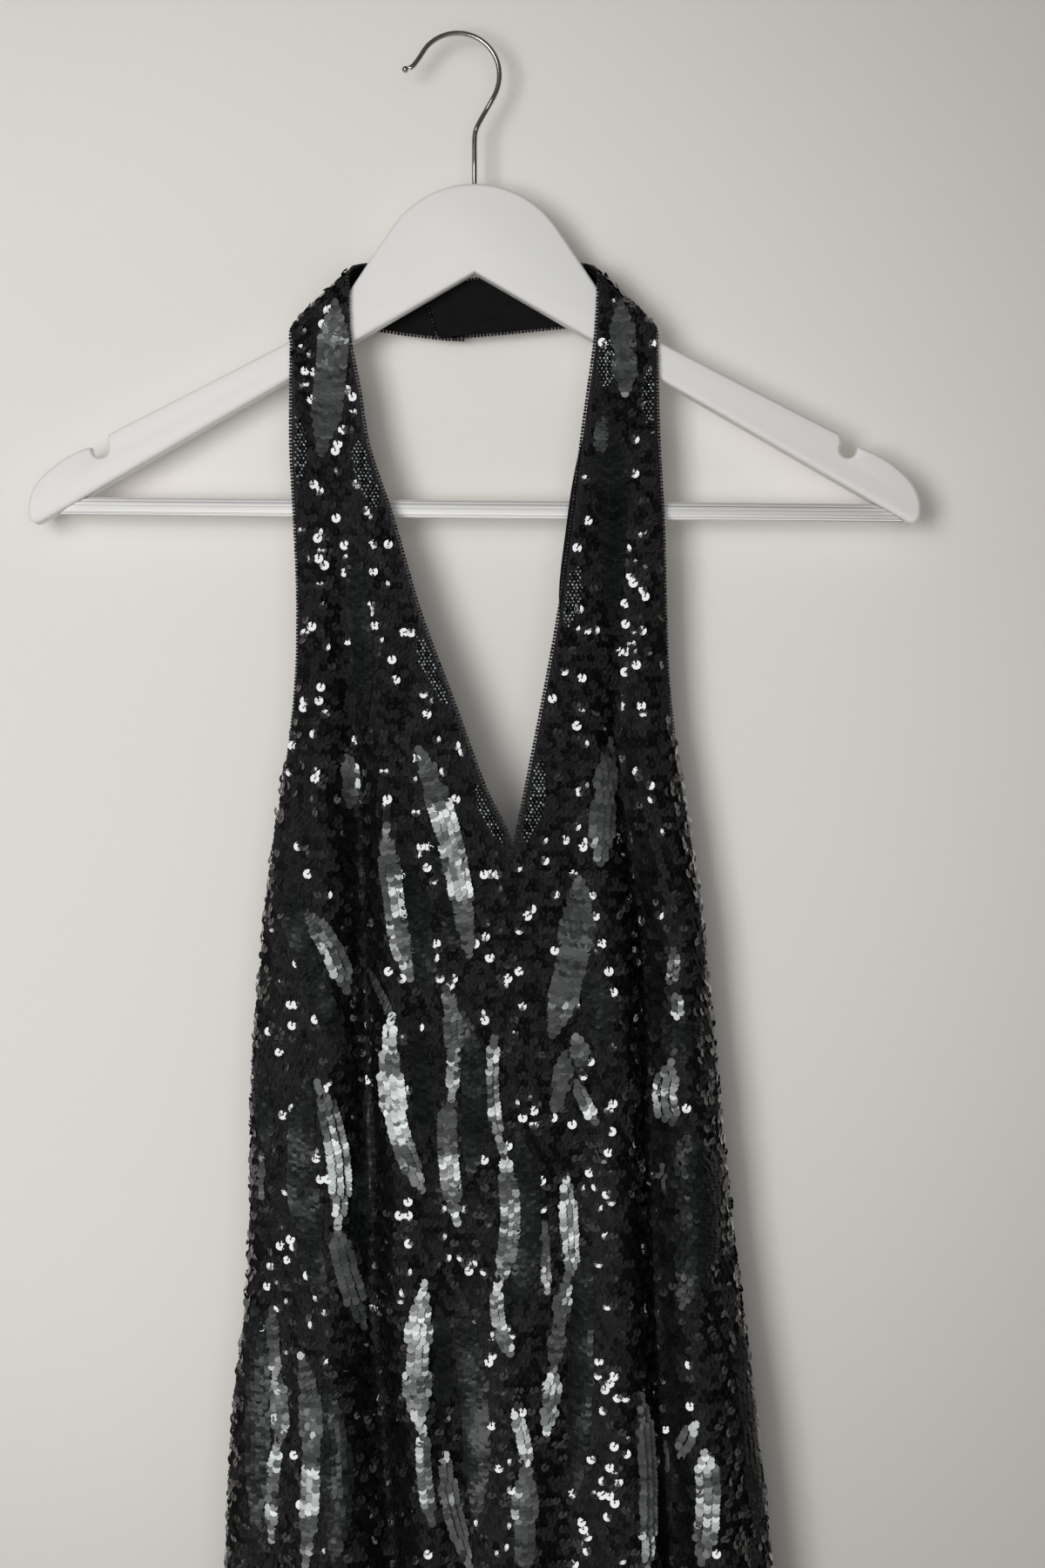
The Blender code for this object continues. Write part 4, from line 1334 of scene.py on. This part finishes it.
skirt_lay = brick_rows(front_body, *LOWER_PITCH, BODY_MARGINS, FROM_MIDDLE)
skirt_lay = kept(skirt_lay, skirt_lay[0][:, 2] <= VIEW_BOTTOM_Z)
skirt_lay = clear_of(skirt_lay, front_tongues + skirt_tongues)
skirt_sequins = sew_ground("skirt_sequins", plain_sequin, skirt_lay, LOWER_RADIUS, seed=102)

back_lay = brick_rows(back_grid, *LOWER_PITCH, (EDGE_MARGIN,) * 3, FROM_MIDDLE)
back_lay = clear_of(back_lay, back_tongues)
back_sequins = sew_ground("back_sequins", plain_sequin, back_lay, LOWER_RADIUS, seed=103)

band_margins = (UPPER_PITCH[0], 2 * EDGE_MARGIN, EDGE_MARGIN)
for seed, side in ((104, "left"), (105, "right")):
    band_lay = brick_rows(bands[side], *UPPER_PITCH, band_margins, FROM_MIDDLE)
    name = f"neck_band_{side}_sequins"
    sew_ground(name, ring_sequin, band_lay, UPPER_RADIUS, seed)

# %% [markdown]
# ## Sewing the flames
#
# A light tongue is a stack: rows of sequins close together, each row leant up against the next, so that
# only its lower rim shows and the rows read as scales. The lean varies row by row, which gives the bands
# of light and shade that run across a tongue. Each row also draws a random tone of its own, partly painted
# shade that stands in for the shadow a row's rim throws on the next. A dark tongue has smaller sequins in
# closer, slanting rows, and it gives way where a light one crosses it. In the table, pitch, across and
# radius are in millimetres, and lean, roll and sway in degrees.

# %% Flames
STACK_NAMES = ("pitch", "across", "radius", "lean", "roll", "sway", "slant", "steady")
STACKS = {
    BRIGHT: (2.1, 2.9, 2.1, 6.0, -12.0, 6.5, 0.2, 0.85),
    LIGHT: (2.1, 2.9, 2.1, 11.0, -1.0, 9.0, 0.2, 0.25),
    FINE: (1.7, 2.1, 1.6, 11.0, -5.0, 10.0, 0.25, 0.25),
    DARK: (1.5, 2.2, 1.6, 20.0, 5.0, 6.0, 0.7, 0.0),
}
STACK_LIFT = 1.7 * MM
STACK_RISES = (-0.1, 0.3)
STACK_SCATTER = 0.15 * MM
STACK_OWN = math.radians(4.0)
TONGUE_ROLL = 3.5
# Share of a flame sequin's tone drawn for its whole row: partly random, partly painted shade between rows.
ROW_PAINTED_SHADE = 0.6
BAND_LENGTHS = (5.0 * MM, 14.0 * MM)
BAND_SHARES = (0.7, 0.8)


def bands_along(at, wave):
    """A quick and a slow swing along a tongue, which bring rows into the light together."""
    swings = zip(BAND_SHARES, BAND_LENGTHS, wave)
    return sum(share * math.sin(at / length + start) for share, length, start in swings)


def front_frames(x, z):
    return body_frame(angle_at(x, z), z)


def back_frames(x, z):
    return body_frame(math.pi - angle_at(x, z), z)


def stacked(tongue, frames, draw):
    """Places, axes and sizes of the sequins stacked along one tongue."""
    stack = dict(zip(STACK_NAMES, STACKS[tongue.tone]))
    radius = stack["radius"] * MM
    spots, leans, rolls, ways, shades = [], [], [], [], []
    wave = draw.uniform(0, 2 * math.pi, 4)
    own_roll = stack["roll"] + draw.normal(0, TONGUE_ROLL)
    for at in np.arange(radius / 2, tongue.run[-1], stack["pitch"] * MM):
        centre = tongue.at(at)
        heading = unit(tongue.at(at + MM) - tongue.at(at - MM))
        half = np.interp(at, tongue.run, tongue.half)
        count = max(1, round((2 * half - radius) / (stack["across"] * MM)) + 1)
        offsets = (np.arange(count) - (count - 1) / 2) * stack["across"] * MM
        square = np.array([-heading[1], heading[0]])
        # Painted shade: one tone for the whole row, for the shadow each row's rim throws on the next.
        row_painted_shade = draw.uniform()
        for offset in offsets:
            spots.append(centre + square * offset - heading * abs(offset) * stack["slant"])
            ways.append(heading)
            leans.append(stack["lean"] + stack["sway"] * bands_along(at, wave[:2]))
            rolls.append(own_roll + stack["sway"] * bands_along(at, wave[2:]))
            shades.append(ROW_PAINTED_SHADE * row_painted_shade)
    spots, ways = np.array(spots), np.array(ways)
    spots = spots + draw.normal(0, STACK_SCATTER, spots.shape)
    place, across, up, out = frames(spots[:, 0], spots[:, 1])
    facing = np.sign((np.cross(across, up) * out).sum(axis=1))
    across = across * facing[:, None]
    side = np.sign(across[:, 0])
    turn = np.arctan2(ways[:, 0] * side, -ways[:, 1])
    c, s = np.cos(turn)[:, None], np.sin(turn)[:, None]
    across, up = across * c + up * s, up * c - across * s
    count = len(spots)
    lean_up = np.radians(leans) + draw.normal(0, STACK_OWN, count)
    bearing = np.arctan2(out[:, 0], np.abs(out[:, 1]))
    lean_across = np.radians(rolls) - stack["steady"] * bearing + draw.normal(0, STACK_OWN, count)
    axes = leaning(across, up, out, lean_up, lean_across, np.zeros(count))
    lifted = place + out * (STACK_LIFT + draw.uniform(*STACK_RISES, count)[:, None] * MM)
    shades = np.array(shades) + draw.uniform(0, 1 - ROW_PAINTED_SHADE, count)
    return lifted, axes, np.full(count, radius), shades


def sew_flames(name, tongues, tones, frames, finish, seed):
    """The flames of these tones. A dark one gives way where a light one crosses it."""
    draw = np.random.default_rng(seed)
    lay = joined_lays([stacked(tongue, frames, draw) for tongue in tongues if tongue.tone in tones])
    if DARK in tones:
        lay = clear_of(lay, [tongue for tongue in tongues if tongue.tone != DARK])
    places, axes, sizes, shades = lay
    return sewn(name, flame_sequin, places, axes, sizes, shades, finish, False)


all_front = front_tongues + skirt_tongues
light_tones, dark_tones = (BRIGHT, LIGHT, FINE), (DARK,)
light_flames = sew_flames("light_flames", all_front, light_tones, front_frames, silver_and_painted_reflection_sequin, seed=201)
dark_flames = sew_flames("dark_flames", all_front, dark_tones, front_frames, graphite_and_painted_shade_sequin, seed=202)
back_light_flames = sew_flames(
    "back_light_flames", back_tongues, light_tones, back_frames, silver_and_painted_reflection_sequin, seed=203
)
back_dark_flames = sew_flames(
    "back_dark_flames", back_tongues, dark_tones, back_frames, graphite_and_painted_shade_sequin, seed=204
)

# %% [markdown]
# ## Beads
#
# Round beads are threaded along every finished edge, almost touching. Their places are steps along the
# edge's own points. The leaves are patches of larger and brighter beads, set in close rows inside a
# leaf's outline and clear of the beads along the edges.

# %% Edge beads
BEAD_RADIUS = 0.78 * MM
BEAD_STEP = 1.66 * MM
LEAF_BEAD_RADIUS = 0.95 * MM
LEAF_STEP = 1.9 * MM
LEAF_ROW_STEP = 0.87 * LEAF_STEP
BEAD_SIZES = (0.94, 1.06)
EDGE_OUT, EDGE_UP = 0.75 * MM, 0.45 * MM
EDGE_SCATTER = 0.05 * MM
EDGES = ((0, 1), (-1, -2))
LEAF_SCATTER = 0.12 * MM
LEAF_LIFT = 1.45 * MM


def along_edge(points, beside, out):
    """Places a bead's step apart along an edge, a little way beyond it and up off the cloth."""
    outward = unit(points - beside) * EDGE_OUT + out * EDGE_UP
    run = run_along(points)
    at = np.arange(BEAD_STEP / 2, run[-1], BEAD_STEP)
    at = at + rng.normal(0, EDGE_SCATTER, len(at))
    return read_along(points, run, at) + read_along(outward, run, at)


def side_edge(grid, edge, beside, rows=slice(None)):
    return along_edge(grid.points[rows, edge], grid.points[rows, beside], grid.out[rows, edge])


def end_edge(grid):
    return along_edge(grid.points[-1], grid.points[-2], grid.out[-1])


seam_row = int(np.argmax(front_body.points[:, 0, 2] > SIDE_SEAM_TOP_Z))
edge_places = [side_edge(front_body, *edge, slice(seam_row, None)) for edge in EDGES]
edge_places += [end_edge(grid) for grid in (back_grid, bands["right"], bands["left"])]
for side in ("left", "right"):
    for grid in (straps[side], bands[side]):
        edge_places += [side_edge(grid, *edge) for edge in EDGES]
edge_places = np.concatenate(edge_places)


def random_axes(count, draw):
    ways = unit(draw.normal(size=(count, 3)))
    across = unit(np.cross(ways, draw.normal(size=(count, 3))))
    return np.stack([across, np.cross(ways, across), ways], axis=1)


def sew_beads(name, places, radius, finish, seed):
    draw = np.random.default_rng(seed)
    count = len(places)
    sizes = radius * draw.uniform(*BEAD_SIZES, count)
    axes = random_axes(count, draw)
    return sewn(name, bead, places, axes, sizes, draw.uniform(0, 1, count), finish, True)


edge_beads = sew_beads("edge_beads", edge_places, BEAD_RADIUS, round_bead, seed=301)


# %% Leaf beads
def leaf_places(leaf):
    """Places of the beads of one leaf, in rows, without those too near the strap's edges."""
    low, high = leaf.box()
    found = []
    for k, z in enumerate(np.arange(low[1], high[1], LEAF_ROW_STEP)):
        x = np.arange(low[0], high[0], LEAF_STEP) + (k % 2) * LEAF_STEP / 2
        found.append(np.stack([x, np.full_like(x, z)], axis=1))
    found = np.concatenate(found)
    found = found[leaf.covers(found)]
    found = found + rng.normal(0, LEAF_SCATTER, found.shape)
    side = "left" if found[:, 0].mean() < NECKLINE.at("left", NECK_POINT_Z) else "right"
    from_x, to_x = np.sort(edges_at(side, found[:, 1]), axis=0)
    inside = (found[:, 0] > from_x + BEAD_STEP) & (found[:, 0] < to_x - BEAD_STEP)
    place, _, _, out = front_frames(*found[inside].T)
    return place + out * LEAF_LIFT


leaf_spots = np.concatenate([leaf_places(leaf) for leaf in leaves])
leaf_beads = sew_beads("leaf_beads", leaf_spots, LEAF_BEAD_RADIUS, cut_bead, seed=302)

# %% [markdown]
# ## The hanger
#
# The hanger's solids already have their shape. A CAD node's mesh is loose triangles, so each piece here
# starts from a merged copy of its node, which can then be shaded smooth across its rounded edges. The
# wood has a matt white paint, thin enough for a little grain to show and faintly rubbed. The bar is white
# plastic, and the hook is bent steel wire with fine scratches.

# %% Paint and steel
paint = Finish("white_paint")
grain_place = paint.node(
    "ShaderNodeMapping", values={"Vector": paint.coordinates(), "Scale": (6.0, 60.0, 90.0)}
)
grain = paint.noise(scale=4.0, detail=5.0, place=grain_place)
brush = paint.noise(scale=60.0, detail=3.0)
handled = paint.noise(scale=14.0, detail=4.0).over(edge=0.66, soft=0.10)
paint.surface(
    base_color=paint.blended(handled * 0.5 + grain * 0.3, (0.70, 0.695, 0.68), (0.64, 0.63, 0.61)),
    roughness=0.52 + 0.10 * brush + 0.06 * handled,
    specular_ior_level=0.3,
    normal=paint.bump(grain * 0.7 + brush * 0.3, distance=0.25 * MM, strength=0.35),
)

plastic = Finish("white_plastic")
cloudy = plastic.noise(scale=30.0, detail=3.0)
plastic.surface(
    base_color=plastic.blended(cloudy, (0.86, 0.855, 0.84), (0.82, 0.81, 0.79)),
    roughness=0.38 + 0.12 * cloudy,
    specular_ior_level=0.3,
    normal=plastic.bump(cloudy, distance=0.1 * MM, strength=0.3),
)

steel = Finish("steel_wire")
drawn = steel.node(
    "ShaderNodeMapping", values={"Vector": steel.coordinates(), "Scale": (900.0, 900.0, 120.0)}
)
scratches = steel.noise(scale=1.0, detail=3.0, place=drawn)
steel.surface(
    base_color=steel.blended(scratches, (0.34, 0.33, 0.32), (0.50, 0.485, 0.47)),
    metallic=1.0,
    roughness=0.16 + 0.14 * scratches,
    normal=steel.bump(scratches, distance=0.03 * MM, strength=0.3),
)


# %% Hanger pieces
def merged_copy(node, name, finish, smooth_degrees):
    """A smooth piece made from a merged copy of a CAD node, which it replaces."""
    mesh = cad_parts[node].data.copy()
    mesh.name = name
    piece = bpy.data.objects.new(name, mesh)
    bpy.context.scene.collection.objects.link(piece)
    mesh.materials.clear()
    mesh.materials.append(finish.material)
    made_active(piece)
    bpy.ops.object.mode_set(mode="EDIT")
    bpy.ops.mesh.select_all(action="SELECT")
    bpy.ops.mesh.remove_doubles(threshold=MERGE)
    bpy.ops.mesh.normals_make_consistent(inside=False)
    bpy.ops.object.mode_set(mode="OBJECT")
    bpy.ops.object.shade_smooth_by_angle(angle=math.radians(smooth_degrees))
    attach(piece, "root")
    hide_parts(node)
    print(name, len(mesh.vertices), "points")
    return piece


wooden_hanger = merged_copy("hanger_wood", "wooden_hanger", paint, smooth_degrees=40.0)
grooved_bar = merged_copy("hanger_bar", "grooved_bar", plastic, smooth_degrees=35.0)
wire_hook = merged_copy("hanger_hook", "wire_hook", steel, smooth_degrees=60.0)

# %% [markdown]
# ## The sizes of the sheets
#
# Each sheet's cut size and area are printed, and the solids it stands for are hidden. The flat size is the
# grid's own length and width, and the area is measured on it, since no piece is a plain rectangle.

# %% Sheet sizes
LEAST_AREA_SHARE = 0.31


def flat_size(points):
    across = run_lengths(points, 1)[:, -1].max()
    along = run_lengths(points, 0)[-1].max()
    return float(across), float(along)


def declare(sheet, nodes, grids, alongside=()):
    """Prints a sheet's cut size and area from grids that follow each other; those alongside add only area.
    """
    widths, lengths = zip(*(flat_size(grid.points) for grid in grids))
    width, length = max(widths), sum(lengths)
    area = sum(grid.area() for grid in (*grids, *alongside))
    area = min(max(area, LEAST_AREA_SHARE * width * length), width * length)
    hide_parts(*nodes)
    print(sheet.name, round(width, 3), "x", round(length, 3), "m, area", round(area, 4), "square metres")


declare(
    front_cloth,
    ["front_left", "front_right"],
    [front_body, straps["left"]],
    alongside=[straps["right"]],
)
declare(
    back_cloth,
    ["back_left", "back_right"],
    [back_grid],
)
for side in ("left", "right"):
    declare(
        band_cloth[side],
        [f"neck_band_{side}"],
        [bands[side]],
    )
    declare(lining_sheets[side], [f"lining_{side}"], [linings[side]])

# %% [markdown]
# ## The room
#
# The dress hangs against a pale plastered wall. Its colour is painted lighter in a pool left of the dress at
# chest height, and darker away from it: a painted pool of light. The wall is there for the picture alone:
# seen from behind it is clear, and it throws no shadow, so that the back of the dress can be looked at too.
# It
# leans a little: its top is close behind the hook, and its foot stands farther back, clear of the skirt. One
# large soft light stands to the left like a window. A larger and weaker one fills the shade without showing
# in the sequins, and a third lights the back.

# %% Wall and floor
WALL_Y = 19.5 * MM
WALL_Z = -100.0 * MM
WALL_LEAN = math.radians(0.75)
FLOOR_Z = -1640.0 * MM
ROOM = 7.0
POOL_X, POOL_Z = -0.14, -0.34
POOL_EDGE, POOL_SOFTNESS = 0.475, 0.225

plaster = Finish("plaster")
blotches = plaster.noise(scale=3.0, detail=5.0)
speckle = plaster.noise(scale=220.0, detail=2.0)
from_pool = plaster.node(
    "ShaderNodeVectorMath",
    {"operation": "DISTANCE"},
    {0: plaster.coordinates(), 1: (POOL_X, POOL_Z - FLOOR_Z - ROOM / 2, 0.0)},
    output="Value",
)
# Painted light: the wall is lighter in a pool round POOL_X, POOL_Z and darker away from it, a painted pool
# of light.
painted_light_falloff = from_pool.over(POOL_EDGE, POOL_SOFTNESS)
plaster.surface(
    base_color=plaster.blended(
        painted_light_falloff * (0.94 + 0.06 * blotches) + speckle * 0.05, (0.725, 0.70, 0.665), (0.50, 0.48, 0.45)
    ),
    roughness=0.95,
    normal=plaster.bump(speckle, distance=0.1 * MM, strength=0.2),
)
clear = plaster.node("ShaderNodeBsdfTransparent")
seen_from_behind = plaster.node("ShaderNodeNewGeometry", output="Backfacing")
solid = Value(plaster, plaster.shader.outputs[0])
shown = plaster.node("ShaderNodeMixShader", values={0: seen_from_behind, 1: solid, 2: clear})
plaster.tree.links.new(shown.socket, plaster.tree.nodes["Material Output"].inputs["Surface"])

floor_paint = Finish("floor_paint")
mottle = floor_paint.noise(scale=2.0, detail=4.0)
floor_paint.surface(
    base_color=floor_paint.blended(mottle, (0.62, 0.60, 0.57), (0.68, 0.66, 0.63)), roughness=0.8
)


def stage_plane(name, location, turn, finish):
    deselected()
    bpy.ops.mesh.primitive_plane_add(size=ROOM, location=location, rotation=turn)
    plane = bpy.context.object
    plane.name = name
    plane.data.materials.append(finish.material)
    plane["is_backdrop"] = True
    return plane


wall_middle_z = FLOOR_Z + ROOM / 2
wall_middle_y = WALL_Y - (wall_middle_z - WALL_Z) * math.tan(WALL_LEAN)
wall_turn = (math.radians(90) + WALL_LEAN, 0, 0)
wall = stage_plane("wall", (0, wall_middle_y, wall_middle_z), wall_turn, plaster)
wall.visible_shadow = False
stage_plane("floor", (0, 0, FLOOR_Z), (0, 0, 0), floor_paint)
print("wall at y", round(WALL_Y, 4), "behind the hook, floor at", round(FLOOR_Z, 3), "m")


# %% Light
CHEST = (0.02, 0.0, -0.40)
HIPS = (0.02, 0.0, -0.7)
UPWARDS = (0.0, 0.0, 1.0)
ROOM_LIGHT, ROOM_STRENGTH = (1.0, 0.975, 0.94, 1.0), 0.085


def soft_light(name, towards, bearing, height, distance, size, power):
    """A rectangle of light that faces a point, at a bearing from the wall's normal (+ is right)."""
    lamp = bpy.data.lights.new(name, "AREA")
    lamp.shape = "RECTANGLE"
    lamp.size, lamp.size_y = size
    lamp.energy = power
    thing = bpy.data.objects.new(name, lamp)
    angle = math.radians(bearing)
    offset = np.array([math.sin(angle), -math.cos(angle), 0.0]) * distance + np.array([0, 0, height])
    thing.location = np.array(towards) + offset
    z_axis = unit(offset)
    x_axis = unit(np.cross(UPWARDS, z_axis))
    y_axis = np.cross(z_axis, x_axis)
    thing.rotation_euler = Matrix(np.stack([x_axis, y_axis, z_axis], axis=1).tolist()).to_euler()
    bpy.context.scene.collection.objects.link(thing)
    return thing


soft_light("window", CHEST, bearing=-24.0, height=0.12, distance=1.9, size=(0.66, 0.90), power=18.0)
soft_fill = soft_light(
    "soft_fill", CHEST, bearing=-10.0, height=0.15, distance=1.4, size=(1.6, 1.4), power=10.4
)
soft_fill.visible_glossy = False
soft_fill.visible_camera = False
soft_light("back_light", HIPS, bearing=150.0, height=0.5, distance=2.4, size=(1.2, 1.6), power=30.0)
world = bpy.data.worlds.new("room")
world.use_nodes = True
background = world.node_tree.nodes["Background"]
background.inputs["Color"].default_value = ROOM_LIGHT
background.inputs["Strength"].default_value = ROOM_STRENGTH
bpy.context.scene.world = world
bpy.context.scene.view_settings.view_transform = "Standard"
print("lights:", len(bpy.data.lights))

# %% [markdown]
# ## How far the model has grown
#
# How far the dressed model reaches beyond the box of the solids is printed, for each side. The
# dressed model has to stay close to the box of the solids.

# %% Sizes
dressed_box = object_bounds()
for low, high, was_low, was_high in zip(*dressed_box, *cad_box):
    print("grown by", round((was_low - low) / MM, 1), "and", round((high - was_high) / MM, 1), "mm")
